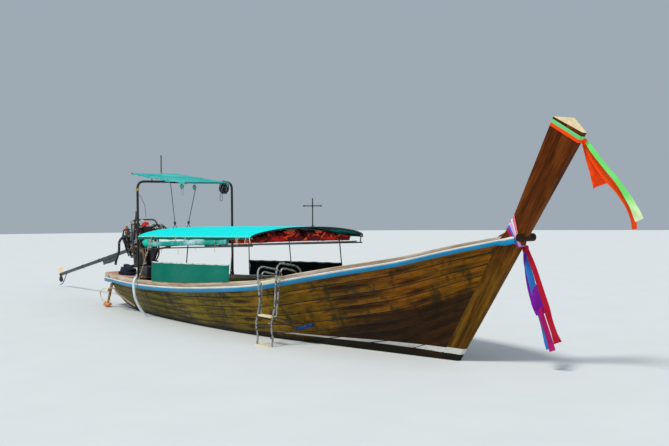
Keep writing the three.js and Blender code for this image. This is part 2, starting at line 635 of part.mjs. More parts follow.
const STICK = 13;
const roofZ = (x) => ROOF.aftZ + (ROOF.foreZ - ROOF.aftZ) * (x - ROOF.aftX) / (ROOF.foreX - ROOF.aftX);
const roofPoint = (x, y) => vec(x, y, roofZ(x));
const ROOF_SIDES = [ROOF.starboardY + 40, ROOF.portY - 40];
const roofPole = rod(vec(POLE.x, POLE.y, roofZ(POLE.x) - STICK), vec(POLE.x, POLE.y, POLE.topZ), POLE.radius);
piece('roof_frame', join(
  ...ROOF_SIDES.map((y) => rod(roofPoint(ROOF.aftX - (y < 0 ? 150 : 20), y), roofPoint(ROOF.foreX + 15, y), STICK)),
  ...[POLE.x, ARCH.x - 380, ROOF.foreX - 120].map((x) => rod(roofPoint(x, ROOF.starboardY + 10),
    roofPoint(x, ROOF.portY - 10), STICK)),
  roofPole,
), 0x6e6a62, 0.6);

const ROOF_SHEET_LIFT = STICK + 0.4;
const roofSheet = loft([ROOF.aftX, ROOF.foreX].map((x) => {
  const [low, high] = [ROOF_SHEET_LIFT, ROOF_SHEET_LIFT + CLOTH];
  const corners = [[ROOF.starboardY, low], [ROOF.portY, low], [ROOF.portY, high], [ROOF.starboardY, high]];
  return corners.map(([y, height]) => roofPoint(x, y).add(vec(0, 0, height)));
}));
const poleHole = rod(vec(POLE.x, POLE.y, 2200), vec(POLE.x, POLE.y, 2600), POLE.radius + 2);
piece('roof_sheet', cut(roofSheet, poleHole), 0x63d8c4, 0.6);

// Boarding ladder, hooked over the starboard gunwale

const LADDER = {
  aftX: 1320, foreX: 1730, treadAftX: 1350, treadForeX: 1665, radius: 13, upperTread: 400, lowerTread: 14,
  tread: 26,
};
const LADDER_HOOPS = [
  // inner end, inner bend, top, outer bend: y from the board's middle outwards, z from its top
  [[-245, -60], [-255, 55], [-190, 115], [68, 170], [120, 105]],
  [[-180, -60], [-185, 20], [-150, 55], [30, 100], [66, 50]],
];
// The outer tubes below the gunwale: distance outwards, height
const LADDER_BULGE = [[52, 560], [82, 400], [112, 300], [106, 210], [84, 100], [108, -10]];
function ladderSide(x, lowX, hoop) {
  const board = boardTop(x);
  const outer = board.y + PLANK / 2 + RAIL_DEPTH + LADDER.radius + 6;
  const low = hoop === 0
    ? LADDER_BULGE.map(([out, z]) => vec(lowX, -outer - out, z))
    : [vec(lowX, -outer - 32, LADDER.upperTread - 10)];
  const over = LADDER_HOOPS[hoop].map(([out, height]) => vec(x, -board.y - out, board.z + height));
  return pipe([...over, ...low], LADDER.radius, 8);
}
const ladderOut = boardTop(LADDER.aftX).y + PLANK / 2 + RAIL_DEPTH + LADDER.radius + 6;
const tread = (z, out) => block(LADDER.treadAftX - 8, LADDER.treadForeX + 8, -ladderOut - out - 35, -ladderOut - out + 50, z
  - LADDER.tread, z);
const PAD = { aftX: 1520, foreX: 1880, radius: 24, z: LADDER.upperTread - 160 };
const padY = -skinAt(stationNear(PAD.aftX) - 0.5, PAD.z, PAD.radius - 3.5).y;
const standoff = [[LADDER.treadAftX + 50, PAD.aftX + 60], [LADDER.treadForeX - 50, PAD.foreX - 60]].map(([from, to]) => (
  rod(vec(from, -ladderOut - 60, LADDER.upperTread - 15), vec(to, padY, PAD.z), 9, 6)));
piece('ladder', join(
  ...[0, 1].flatMap((hoop) => [
    ladderSide(LADDER.aftX, LADDER.treadAftX, hoop), ladderSide(LADDER.foreX, LADDER.treadForeX, hoop),
  ]),
  tread(LADDER.upperTread, 60), tread(LADDER.lowerTread, 98), ...standoff,
  rod(vec(PAD.aftX, padY, PAD.z), vec(PAD.foreX, padY, PAD.z), PAD.radius, 8),
), 0xc8c8c0, 0.35, 0.6);

// Boxes on the stern deck, the swivel's socket, and what hangs at the stern

const deckTop = STERN_DECK_Z + GAP;
piece('battery_box', block(-3600, -3300, -440, -140, deckTop, deckTop + 175), 0x1d2126, 0.5);
piece('fuel_box', block(-3600, -3300, 140, 440, deckTop, deckTop + 185), 0x3a4048, 0.55);
const SOCKET = { radius: 70, height: 38, flange: 120, flangeHeight: 16 };
piece('pivot_socket', join(
  rod(vec(SWIVEL_X, 0, deckTop), vec(SWIVEL_X, 0, deckTop + SOCKET.height), SOCKET.radius, 20),
  rod(vec(SWIVEL_X, 0, deckTop), vec(SWIVEL_X, 0, deckTop + SOCKET.flangeHeight), SOCKET.flange, 20),
), 0x55524e, 0.5, 0.6);

const STAKE = { topX: -4507, lowX: -4690, y: -553.5, topZ: 448, lowZ: 96, radius: 26 };
piece('stern_stake', rod(vec(STAKE.topX, STAKE.y, STAKE.topZ), vec(STAKE.lowX, STAKE.y, STAKE.lowZ), STAKE.radius, 8,
  STAKE.radius * 0.7), 0x6a4a20, 0.6);
const float = new THREE.SphereGeometry(1, 14, 8).scale(105, 70, 42);
piece('stern_float', float.translate(STAKE.lowX - 30, STAKE.y, 51.2), 0xd8601c, 0.5);

// Swivel: turns on the socket and carries the engine between two arms

const yokeLow = deckTop + SOCKET.height + 0.3;
const YOKE = { half: 120, arm: 18, width: 64, base: 24, eye: 33, pin: 12 };
const swivel = new THREE.Group();
swivel.position.set(SWIVEL_X, 0, 0);
swivel.rotation.z = SHAFT_YAW;
boat.add(swivel);
const tiltBar = (half, radius) => rod(vec(0, -half, TILT_HEIGHT), vec(0, half, TILT_HEIGHT), radius, 16);
const yokeArm = (y) => join(
  block(-YOKE.width / 2, YOKE.width / 2, y - YOKE.arm / 2, y + YOKE.arm / 2, yokeLow, TILT_HEIGHT),
  rod(vec(0, y - YOKE.arm / 2, TILT_HEIGHT), vec(0, y + YOKE.arm / 2, TILT_HEIGHT), YOKE.eye, 16),
);
piece('swivel_yoke', cut(join(
  rod(vec(0, 0, yokeLow), vec(0, 0, yokeLow + YOKE.base), 90, 20),
  block(-YOKE.width / 2, YOKE.width / 2, -YOKE.half - YOKE.arm / 2, YOKE.half + YOKE.arm / 2, yokeLow, yokeLow
    + YOKE.base),
  yokeArm(YOKE.half), yokeArm(-YOKE.half),
), tiltBar(YOKE.half * 2, YOKE.pin + GAP)), 0x4c4a48, 0.5, 0.7, swivel);

// Engine group: x runs forward along the shaft's axis, y to port, z up from the axis

const engine = new THREE.Group();
engine.position.set(0, 0, SHAFT_HEIGHT);
engine.rotation.y = -SHAFT_PITCH;
swivel.add(engine);
const iron = (name, geometry, colour, roughness = 0.6, metalness = 0.5) => piece(name, geometry, colour, roughness,
  metalness, engine);

const drop = SHAFT_HEIGHT - TILT_HEIGHT;
const TILT = { x: -drop * Math.sin(SHAFT_PITCH), z: -drop * Math.cos(SHAFT_PITCH) };
const CRADLE = { aftX: -480, foreX: 300, half: 110, rail: 45, top: -330 };
const lug = (y) => join(
  block(TILT.x - 32, TILT.x + 32, y - 9, y + 9, TILT.z, CRADLE.top - 20),
  rod(vec(TILT.x, y - 9, TILT.z), vec(TILT.x, y + 9, TILT.z), 32, 12),
);
const LUG_Y = YOKE.half - YOKE.arm - 2;
iron('engine_cradle', join(
  ...[-1, 1].map((side) => block(CRADLE.aftX, CRADLE.foreX, side * CRADLE.half - 22, side * CRADLE.half + 22,
    CRADLE.top - CRADLE.rail, CRADLE.top)),
  ...[CRADLE.aftX, TILT.x - 45, CRADLE.foreX - 90].map((x) => block(x, x + 90, -CRADLE.half, CRADLE.half, CRADLE.top
    - CRADLE.rail, CRADLE.top)),
  lug(LUG_Y), lug(-LUG_Y),
  rod(vec(TILT.x, -YOKE.half - YOKE.arm, TILT.z), vec(TILT.x, YOKE.half + YOKE.arm, TILT.z), YOKE.pin, 16),
), 0x38342f);

// Engine pieces: aftX, foreX, starboardY, portY, lowZ, highZ
const ENGINE_BLOCK = [-400, 250, -150, 150, -200, 200];
const SUMP = [-330, 220, -115, 115, CRADLE.top + GAP, -190];
const HEAD = [-270, 180, -100, 100, 200 + GAP, 320];
const COVER = [40, 170, -50, 50, 315, 396];
const AIR_CLEANER = { x: -150, y: -75, radius: 62, top: 425 };
iron('engine_block', join(block(...ENGINE_BLOCK), block(...SUMP),
  rod(vec(240, 0, 40), vec(285, 0, 40), 90, 16), rod(vec(240, 0, -110), vec(275, 0, -110), 45, 12)), 0x4a4640);
iron('cylinder_head', join(block(...HEAD), block(...COVER),
  rod(vec(AIR_CLEANER.x, AIR_CLEANER.y, 310), vec(AIR_CLEANER.x, AIR_CLEANER.y, AIR_CLEANER.top), AIR_CLEANER.radius, 14),
), 0x6a2c20, 0.5, 0.3);
const GEARBOX_END = -620;
iron('gearbox', rod(vec(GEARBOX_END, 0, 0), vec(ENGINE_BLOCK[0] - GAP, 0, 0), 50, 16, 105), 0x5a5650);
const BOTTLE = { x: -375, y: -190, low: 240, radius: 39 };
iron('air_bottle', join(
  rod(vec(BOTTLE.x, BOTTLE.y, BOTTLE.low), vec(BOTTLE.x, BOTTLE.y, 340), BOTTLE.radius, 14),
  rod(vec(BOTTLE.x, BOTTLE.y, 340), vec(BOTTLE.x, BOTTLE.y, 375), BOTTLE.radius, 14, 16),
  rod(vec(BOTTLE.x, BOTTLE.y, 375), vec(BOTTLE.x, BOTTLE.y, 400), 16, 10),
  block(BOTTLE.x - 20, BOTTLE.x + 15, ENGINE_BLOCK[2] - GAP - 40, ENGINE_BLOCK[2] - GAP, 150, 245),
), 0x7a3a1c, 0.7, 0.2);
iron('exhaust_pipe', pipe([
  vec(-30, ENGINE_BLOCK[2] - GAP, 60), vec(-30, -185, 60), vec(-30, -195, 90), vec(-30, -150, 400), vec(-20, -120, 520),
  vec(-20, -110, 616),
], 19, 10), 0x3c2c22, 0.7, 0.4);
iron('alternator', join(
  rod(vec(100, 206, 245), vec(265, 206, 245), 50, 14), rod(vec(260, 206, 245), vec(290, 206, 245), 32, 12),
  block(130, 230, ENGINE_BLOCK[3] + GAP, 206, 150, 230),
), 0x9a9a94, 0.45, 0.7);

const GUARD = { x: 60, half: 245, top: 465, radius: 15 };
iron('engine_guard', pipe([
  vec(GUARD.x, CRADLE.half + 22 + GUARD.radius - 2.9, CRADLE.top - 22), vec(GUARD.x, GUARD.half, -200),
  vec(GUARD.x, GUARD.half, GUARD.top - 90), vec(GUARD.x, GUARD.half - 55, GUARD.top - GUARD.radius),
  vec(GUARD.x, -GUARD.half + 55, GUARD.top - GUARD.radius), vec(GUARD.x, -GUARD.half, GUARD.top - 90),
  vec(GUARD.x, -GUARD.half, -200), vec(GUARD.x, -CRADLE.half - 22 - GUARD.radius + 2.9, CRADLE.top - 22),
], GUARD.radius, 8), 0x1f2226, 0.45);

const TILLER = { radius: 17, tipX: 1225, tipZ: -187 };
const tillerRoot = CRADLE.top - CRADLE.rail / 2;
iron('tiller', join(
  pipe([vec(CRADLE.foreX + GAP, 0, tillerRoot), vec(400, 0, tillerRoot), vec(540, 0, -200), vec(680, 0, -165),
    vec(TILLER.tipX, 0, TILLER.tipZ)], TILLER.radius, 10),
  rod(vec(TILLER.tipX - 170, 0, TILLER.tipZ + 7), vec(TILLER.tipX + 4, 0, TILLER.tipZ), 23, 10),
), 0x141414, 0.5, 0.3);

// The shaft's tube, with the plate under it and the rod that guards the propeller
const TUBE_END = -SHAFT_LENGTH + 120;
const TAIL_PLATE = { aftX: -2520, foreX: -1560, low: -118, half: 7 };
iron('shaft_tube', join(
  rod(vec(TUBE_END, 0, 0), vec(GEARBOX_END - GAP, 0, 0), SHAFT_TUBE_RADIUS, 16),
  rod(vec(-SHAFT_LENGTH + 45.5, 0, 0), vec(TUBE_END, 0, 0), 18, 12),
  rod(vec(GEARBOX_END - 110, 0, 0), vec(GEARBOX_END - GAP, 0, 0), 42, 16),
  loft([TAIL_PLATE.half, -TAIL_PLATE.half].map((y) => [
    vec(TAIL_PLATE.aftX, y, -10), vec(TAIL_PLATE.foreX, y, -10),
    vec(TAIL_PLATE.foreX - 60, y, TAIL_PLATE.low), vec(TAIL_PLATE.aftX + 50, y, TAIL_PLATE.low),
  ])),
  bentTube([vec(TUBE_END + 420, 0, -20), vec(TUBE_END + 300, 0, -60), vec(TUBE_END + 60, 0, -190),
    vec(TUBE_END - 100, 0, -228), vec(TUBE_END - 260, 0, -222)], 9, 14),
), 0x3c3a38, 0.5, 0.6);

const HUB = { radius: 34, half: 45 };
function blade(turn) {
  const rows = [
    // distance from the shaft, half chord, pitch in degrees, half thickness
    [24, 26, 55, 8],
    [80, 52, 38, 6],
    [130, 55, 28, 5],
    [PROPELLER_RADIUS, 26, 22, 3],
  ].map(([radius, chord, pitch, half]) => {
    const lean = radians(pitch);
    const along2 = vec(Math.sin(lean), Math.cos(lean), 0).multiplyScalar(chord);
    const thick = vec(Math.cos(lean), -Math.sin(lean), 0).multiplyScalar(half);
    const middle = vec(0, 0, radius);
    return [
      middle.clone().add(along2), middle.clone().add(thick),
      middle.clone().sub(along2), middle.clone().sub(thick),
    ];
  });
  return loft(rows).rotateX(turn);
}
const propeller = join(
  rod(vec(-HUB.half, 0, 0), vec(HUB.half, 0, 0), HUB.radius, 14), blade(0), blade(Math.PI),
);
iron('propeller', propeller.translate(-SHAFT_LENGTH, 0, 0), 0xb8a070, 0.4, 0.7);

// Hoses: two on the engine and one from the deck over the side
const OVERFLOW_HOSE = [
  [-285, -180, 190], [-310, -214, 208], [-400, -252, 200], [-476, -285, 160], [-500, -310, 100], [-505, -320, -30], [-560, -330, -130],
  [-640, -345, -225], [-662, -350, -290],
];
iron('overflow_hose', join(
  bentTube(OVERFLOW_HOSE.map((p) => vec(...p)), 23, 20, 8),
  rod(vec(-285, ENGINE_BLOCK[2] - GAP, 182), vec(-285, -190, 182), 18, 8),
), 0x15181a, 0.6, 0);
const COOLING_HOSE = [
  [-210, -190, -50], [-110, -192, -42], [20, -192, -42], [130, -192, -50], [258, -205, -74], [434, -224, -145],
  [567, -236, -232], [612, -240, -326], [618, -240, -420],
];
iron('cooling_hose', join(
  bentTube(COOLING_HOSE.map((p) => vec(...p)), 24, 24, 8),
  rod(vec(-200, ENGINE_BLOCK[2] - GAP, -50), vec(-200, -195, -50), 22, 8),
), 0x6a4a2a, 0.8, 0);
const WATER_HOSE = [
  [-3440, -560, 641], [-3200, -640, 645], [-2980, -735, 655], [-2820, -815, 662.5], [-2745, -880, 669.9],
  [-2712, -945, 631.9], [-2700, -966, 560], [-2700, -962, 440], [-2705, -930, 300], [-2690, -860, 150], [-2660, -780, 20],
  [-2640, -735, -50],
].map((p) => vec(...p));
piece('water_hose', bentTube(WATER_HOSE, 24, 26, 8), 0xd8e4ea, 0.5);

// Ribbons tied round the stem

// A band round the stem between two parallel planes, its middle at the given point and tilt
function collar(middleX, middleZ, tilt, width, extra) {
  const slab = block(-400, 400, -300, 300, -width / 2, width / 2).rotateY(tilt).translate(middleX, 0, middleZ);
  return cut(common(loft(stemRings(extra)), slab), loft(stemRings(GAP + 0.3)));
}
const BAND = { thick: 9, headWidth: 64, bowWidth: 44 };
piece('bow_ribbon_upper', join(
  collar(5700, 2548, radians(37.4), BAND.headWidth, BAND.thick),
  strap([vec(5820, 68, 2451), vec(5862, 110, 2345), vec(5930, 217, 2100), vec(6007, 322, 1900), vec(6066, 403, 1720),
    vec(6132, 491, 1570)], 62, 7, 10, vec(0.592, 0.806, 0)),
), 0x2f8a4a, 0.8);
piece('bow_ribbon_lower', join(
  collar(4965, 1450, radians(73), BAND.bowWidth, BAND.thick),
  strap([vec(4999, 66, 1345), vec(5030, 76, 1280), vec(5085, 112, 1000), vec(5135, 160, 640), vec(5190, 225, 270)],
    64, 7, 10, vec(0.592, 0.806, 0)),
), 0x7a1f5a, 0.8);

export default boat;
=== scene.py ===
"""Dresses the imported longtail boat: strakes, rails, canopy, cloth, ropes and engine, with the stage and the camera."""

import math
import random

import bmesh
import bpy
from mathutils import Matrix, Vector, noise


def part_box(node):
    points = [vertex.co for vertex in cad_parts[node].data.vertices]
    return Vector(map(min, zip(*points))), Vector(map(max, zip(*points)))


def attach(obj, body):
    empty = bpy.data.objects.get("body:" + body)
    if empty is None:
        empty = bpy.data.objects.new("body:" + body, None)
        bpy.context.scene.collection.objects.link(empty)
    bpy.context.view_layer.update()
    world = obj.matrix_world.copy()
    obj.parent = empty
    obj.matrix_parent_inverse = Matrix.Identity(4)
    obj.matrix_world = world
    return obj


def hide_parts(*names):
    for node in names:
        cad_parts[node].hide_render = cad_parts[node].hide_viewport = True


bl_info = {
    "name": "Longtail Boat",
    "version": (1, 0, 0),
    "blender": (4, 5, 0),
    "location": "View3D > Sidebar > Longtail Boat",
    "description": "Builds the visible pieces of a wooden longtail boat round its packed frame",
    "category": "Object",
}

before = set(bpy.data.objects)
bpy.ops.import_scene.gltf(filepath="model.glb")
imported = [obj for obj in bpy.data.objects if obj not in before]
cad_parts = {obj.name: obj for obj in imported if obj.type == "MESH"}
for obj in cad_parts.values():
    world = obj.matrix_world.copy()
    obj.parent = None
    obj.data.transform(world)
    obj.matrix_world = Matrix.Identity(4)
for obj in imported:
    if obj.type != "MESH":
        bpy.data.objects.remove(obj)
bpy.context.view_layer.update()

# Sizes of the hull, in metres, as in the part's source

STATIONS = [
    # keel x, sheer x, keel half, keel z, bilge y, bilge z, sheer half, sheer z
    (-4.260, -4.540, 0.045, -0.020, 0.450, -0.050, 0.575, 0.548),
    (-3.650, -3.720, 0.045, -0.120, 0.480, -0.130, 0.735, 0.552),
    (-2.600, -2.600, 0.045, -0.220, 0.580, -0.240, 0.900, 0.564),
    (-1.400, -1.400, 0.045, -0.275, 0.650, -0.280, 0.975, 0.598),
    (-0.200, -0.200, 0.045, -0.300, 0.665, -0.280, 1.000, 0.666),
    (1.000, 1.000, 0.045, -0.305, 0.580, -0.240, 0.965, 0.766),
    (1.900, 2.000, 0.045, -0.295, 0.380, -0.140, 0.890, 0.920),
    (2.500, 2.850, 0.044, -0.265, 0.170, 0.020, 0.785, 1.052),
    (3.000, 3.600, 0.042, -0.215, 0.080, 0.160, 0.620, 1.172),
    (3.380, 4.280, 0.042, -0.155, 0.058, 0.380, 0.385, 1.324),
    (3.666, 4.794, 0.044, -0.100, 0.066, 0.600, 0.130, 1.434),
]
BOARD_HEIGHTS = [(-5.2, 0.072), (-2.0, 0.07), (0.5, 0.056), (1.5, 0.04), (5.0, 0.04)]
STERN_CURVE = [
    (-4.625, 0.557), (-4.8, 0.53), (-4.97, 0.472), (-5.075, 0.375), (-5.125, 0.23), (-5.14, 0.08),
]
PLANK = 0.024
DECK = 0.6166
ARCH_X, ARCH_TOP = -2.67, 2.245
SWIVEL_X = -4.3
SHAFT_HEIGHT = 1.14
SHAFT_YAW = math.radians(-5.7)
SHAFT_PITCH = math.radians(8.6)
SHAFT_LENGTH = 5.7
ENGINE = (
    Matrix.Translation((SWIVEL_X, 0, 0)) @ Matrix.Rotation(SHAFT_YAW, 4, "Z")
    @ Matrix.Translation((0, 0, SHAFT_HEIGHT)) @ Matrix.Rotation(-SHAFT_PITCH, 4, "Y")
)
CANOPY_AFT, CANOPY_FORE, CANOPY_HALF = -2.53, 0.97, 0.955

UP, FORE, AFT, PORT, STARBOARD = (0, 0, 1), (1, 0, 0), (-1, 0, 0), (0, 1, 0), (0, -1, 0)


def vec(x, y, z):
    return Vector((x, y, z))


def flip(point):
    return Vector((point.x, -point.y, point.z))


def on_side(point, side):
    """The point on the port side, or its image on the starboard side where side is negative."""
    return point if side > 0 else flip(point)


def between(low, high, share):
    return low + (high - low) * share


def spread(low, high, count):
    return [between(low, high, n / (count - 1)) for n in range(count)]


def cubic(points, share):
    """A point on a smooth curve through the points, at a share of their count."""
    place = share * (len(points) - 1)
    n = min(int(place), len(points) - 2)
    t = place - n
    p1, p2 = points[n], points[n + 1]
    p0 = points[n - 1] if n else p1 * 2 - p2
    p3 = points[n + 2] if n + 2 < len(points) else p2 * 2 - p1
    a, b = (p2 - p0) * 0.5, (p3 - p1) * 0.5
    return p1 + a * t + (p2 * 3 - p1 * 3 - a * 2 - b) * t ** 2 + (p1 * 2 - p2 * 2 + a + b) * t ** 3


def smooth_path(points, count):
    return [cubic([Vector(p) for p in points], n / (count - 1)) for n in range(count)]


def line_length(points):
    return sum((b - a).length for a, b in zip(points, points[1:]))


def circle(count):
    """Equal angles round a full turn."""
    return [math.tau * n / count for n in range(count)]


def outline_of(points):
    """The corners of the convex outline round flat points that are sorted by place."""
    points = [Vector(p) for p in points]

    def half(row):
        chain = []
        for p in row:
            while len(chain) > 1 and (chain[-1] - chain[-2]).cross(p - chain[-1]) <= 1e-9:
                chain.pop()
            chain.append(p)
        return chain[:-1]
    return half(points) + half(points[::-1])


# The hull's surface


def bilge_x(row):
    share = (row[5] - row[3]) / (row[7] - row[3])
    return between(row[0], row[1], share)


KEEL_LINE = [vec(row[0], row[2], row[3]) for row in STATIONS]
BILGE_LINE = [vec(bilge_x(row), row[4], row[5]) for row in STATIONS]
SHEER_LINE = [vec(row[1], row[6], row[7]) for row in STATIONS]


def hull_frame(s, t):
    """Place, direction up the girth and direction out of the planks, on the port side."""
    keel, bilge, sheer = cubic(KEEL_LINE, s), cubic(BILGE_LINE, s), cubic(SHEER_LINE, s)
    place = keel * (1 - t) ** 2 + bilge * 2 * t * (1 - t) + sheer * t ** 2
    up = ((bilge - keel) * (1 - t) + (sheer - bilge) * t).normalized()
    lean = vec(sheer.x - keel.x, 0, sheer.z - keel.z).normalized()
    out = (vec(0, up.dot(lean), 0) - lean * up.y).normalized()
    return place, up, out


def hull_point(s, t, offset=0.0):
    place, _, out = hull_frame(s, t)
    return place + out * offset


def sheer_share(x):
    """The share along the hull where the sheer has the given x."""
    low, high = 0.0, 1.0
    for _ in range(30):
        middle = (low + high) / 2
        low, high = (middle, high) if cubic(SHEER_LINE, middle).x < x else (low, middle)
    return low


def girth_at(s, z):
    low, high = 0.0, 1.0
    for _ in range(30):
        middle = (low + high) / 2
        low, high = (middle, high) if hull_point(s, middle).z < z else (low, middle)
    return low


def hull_side(x, z, offset=0.0):
    """A point of the port side with the given x and height."""
    low, high = 0.0, 1.0
    for _ in range(30):
        s = (low + high) / 2
        low, high = (s, high) if hull_point(s, girth_at(s, z)).x < x else (low, s)
    return hull_point(low, girth_at(low, z), offset)


def board_height(x):
    n = next(i for i, row in enumerate(BOARD_HEIGHTS) if row[0] > x)
    (x0, low), (x1, high) = BOARD_HEIGHTS[n - 1:n + 1]
    return between(low, high, (x - x0) / (x1 - x0))


def board_top(x):
    place, up, out = hull_frame(sheer_share(x), 1.0)
    return place + up * board_height(x) - out * (PLANK / 2)


def stern_round(count):
    """Places and outward directions round the stern, from port to starboard."""
    rows = [vec(x, y, 0.548) for x, y in STERN_CURVE]
    rows += [flip(p) for p in reversed(rows)]
    result = []
    for n in range(count):
        share = n / (count - 1)
        step = cubic(rows, min(share + 0.002, 1)) - cubic(rows, max(share - 0.002, 0))
        result.append((cubic(rows, share), vec(step.y, -step.x, 0).normalized()))
    return result


def canopy_share(x):
    return (x - CANOPY_AFT) / (CANOPY_FORE - CANOPY_AFT)


def canopy_edge(x):
    return between(1.335, 1.397, canopy_share(x))


def canopy_crown(x):
    share = canopy_share(x)
    return 1.478 + 0.044 * share * (1.6 - 0.6 * share)


def canopy_point(x, angle, lift=0.0):
    """A point of the canopy: angle 0 at the port edge, half a turn at the starboard edge."""
    rise = canopy_crown(x) - canopy_edge(x)
    return vec(x, (CANOPY_HALF + lift * 1.3) * math.cos(angle),
        canopy_edge(x) + rise * abs(math.sin(angle)) ** 1.25 + lift)


def side_rail_z(x):
    return between(1.145, 1.28, (x + 2.52) / 3.5)


# Meshes


class Shape:
    """The corners and faces of one piece, with a UV in metres, a finish and a board number for each face."""

    def __init__(self):
        self.corners = []
        self.faces = []
        self.uvs = []
        self.finishes = []
        self.boards = []
        self.board = 0.5

    def face(self, corners, uvs, finish):
        self.faces.append(corners)
        self.uvs.append(uvs)
        self.finishes.append(finish)
        self.boards.append(self.board)

    def rings(self, rings, closed=True, capped=True, finish=0):
        """Skins rings that all have the same number of points."""
        start, count = len(self.corners), len(rings[0])
        for ring in rings:
            self.corners.extend(ring)
        centres = [sum(ring, Vector()) / count for ring in rings]
        along = [0.0]
        for a, b in zip(centres, centres[1:]):
            along.append(along[-1] + (b - a).length)
        middle = rings[len(rings) // 2]
        across = [0.0]
        for j in range(count):
            across.append(across[-1] + (middle[(j + 1) % count] - middle[j]).length)
        for i in range(len(rings) - 1):
            for j in range(count if closed else count - 1):
                a, b = start + i * count + j, start + i * count + (j + 1) % count
                given = finish[j] if isinstance(finish, list) else finish
                self.face((a, b, b + count, a + count), ((along[i], across[j]), (along[i], across[j + 1]),
                    (along[i + 1], across[j + 1]), (along[i + 1], across[j])), given)
        if capped and closed:
            for row in (0, len(rings) - 1):
                given = finish[0] if isinstance(finish, list) else finish
                corners = tuple(start + row * count + j for j in range(count))
                self.face(corners, tuple((p.y, p.z) for p in rings[row]), given)
        return self

    def tube(self, points, radius, sides=12, finish=0, capped=True, bore=0.0):
        """A round tube along points, with one radius or one for each point, and an open bore at both ends if asked."""
        points = [Vector(p) for p in points]
        radii = radius if isinstance(radius, list) else [radius] * len(points)
        side = (points[1] - points[0]).normalized().orthogonal().normalized()
        rings = []
        for n, point in enumerate(points):
            forward = (points[min(n + 1, len(points) - 1)] - points[max(n - 1, 0)]).normalized()
            side = (side - forward * side.dot(forward)).normalized()
            up = forward.cross(side)
            rings.append([point + (side * math.cos(a) + up * math.sin(a)) * radii[n] for a in circle(sides)])
        if bore:
            for end, near, last in ((points[-1], points[-2], True), (points[0], points[1], False)):
                tip, back = rings[-1 if last else 0], (near - end).normalized() * 0.04
                inner = [end + (p - end) * bore for p in tip]
                deep = [p + back for p in inner]
                rings = rings + [inner, deep] if last else [deep, inner] + rings
        return self.rings(rings, capped=capped, finish=finish)

    def turned(self, start, axis, profile, sides=24, finish=0):
        """A turned shape: profile rows are the distance along the axis and the radius."""
        axis = Vector(axis).normalized()
        side = axis.orthogonal().normalized()
        up = axis.cross(side)
        rings = [[Vector(start) + axis * along + (side * math.cos(a) + up * math.sin(a)) * max(radius, 0.0004)
            for a in circle(sides)] for along, radius in profile]
        return self.rings(rings, finish=finish)

    def lathe(self, start, axis, profile, sides=24, finish=0):
        """A turned shape whose profile is in millimetres."""
        return self.turned(start, axis, [(along / 1000, radius / 1000) for along, radius in profile], sides, finish)

    def block(self, low, high, finish=0, turn=None):
        """A block with four long edges, from one corner to the other, turned about its middle if asked."""
        (x0, y0, z0), (x1, y1, z1) = low, high
        rings = [[vec(x, y0, z0), vec(x, y1, z0), vec(x, y1, z1), vec(x, y0, z1)] for x in (x0, x1)]
        if turn:
            middle = (Vector(low) + Vector(high)) / 2
            rings = [[middle + turn @ (p - middle) for p in ring] for ring in rings]
        return self.rings(rings, finish=finish)

    def moved(self, matrix):
        self.corners = [matrix @ Vector(p) for p in self.corners]
        return self

    def build(self, name, body, slot, finishes, replaces=(), bevel=0.0, angle=38.0, segments=2):
        mesh = bpy.data.meshes.new(name)
        mesh.from_pydata(self.corners, [], self.faces)
        layer = mesh.uv_layers.new(name="Metres")
        flat = [corner for uvs in self.uvs for corner in uvs]
        for loop, uv in zip(layer.data, flat):
            loop.uv = uv
        mesh.polygons.foreach_set("material_index", self.finishes)
        board = mesh.attributes.new("board", "FLOAT", "FACE")
        board.data.foreach_set("value", self.boards)
        return finished(name, mesh, body, finishes, replaces, bevel, angle, segments)


def finished(name, mesh, body, finishes, replaces=(), bevel=0.0, angle=38.0, segments=2):
    """A piece from a mesh: merged, facing outwards, shaded, with its finish, riding on its body."""
    work = bmesh.new()
    work.from_mesh(mesh)
    bmesh.ops.remove_doubles(work, verts=work.verts, dist=1e-6)
    bmesh.ops.dissolve_degenerate(work, edges=work.edges, dist=1e-7)
    bmesh.ops.recalc_face_normals(work, faces=work.faces)
    work.to_mesh(mesh)
    work.free()
    mesh.shade_smooth()
    mesh.set_sharp_from_angle(angle=math.radians(angle))
    for key in [finishes] if isinstance(finishes, str) else finishes:
        mesh.materials.append(FINISHES[key])
    piece = bpy.data.objects.new(name, mesh)
    bpy.context.scene.collection.objects.link(piece)
    if bevel:
        edge = piece.modifiers.new("Bevel", "BEVEL")
        edge.width, edge.segments, edge.limit_method = bevel, segments, "ANGLE"
        edge.angle_limit = math.radians(angle)
        edge.harden_normals = True
    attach(piece, body)
    if replaces:
        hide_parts(*replaces)
    return piece


def node_mesh(node):
    """A merged copy of a CAD node's mesh, with its flat faces joined up."""
    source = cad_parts[node]
    work = bmesh.new()
    work.from_mesh(source.data)
    bmesh.ops.remove_doubles(work, verts=work.verts, dist=1e-5)
    bmesh.ops.dissolve_limit(work, angle_limit=math.radians(0.6), verts=work.verts, edges=work.edges)
    return work


def softened(node, body, finish, bevel=0.004, name=None, angle=25.0, segments=2):
    """A CAD solid with its edges eased."""
    work = node_mesh(node)
    mesh = bpy.data.meshes.new(name or f"{node}_eased")
    work.to_mesh(mesh)
    work.free()
    return finished(name or f"{node}_eased", mesh, body, finish, (node,), bevel, angle, segments)


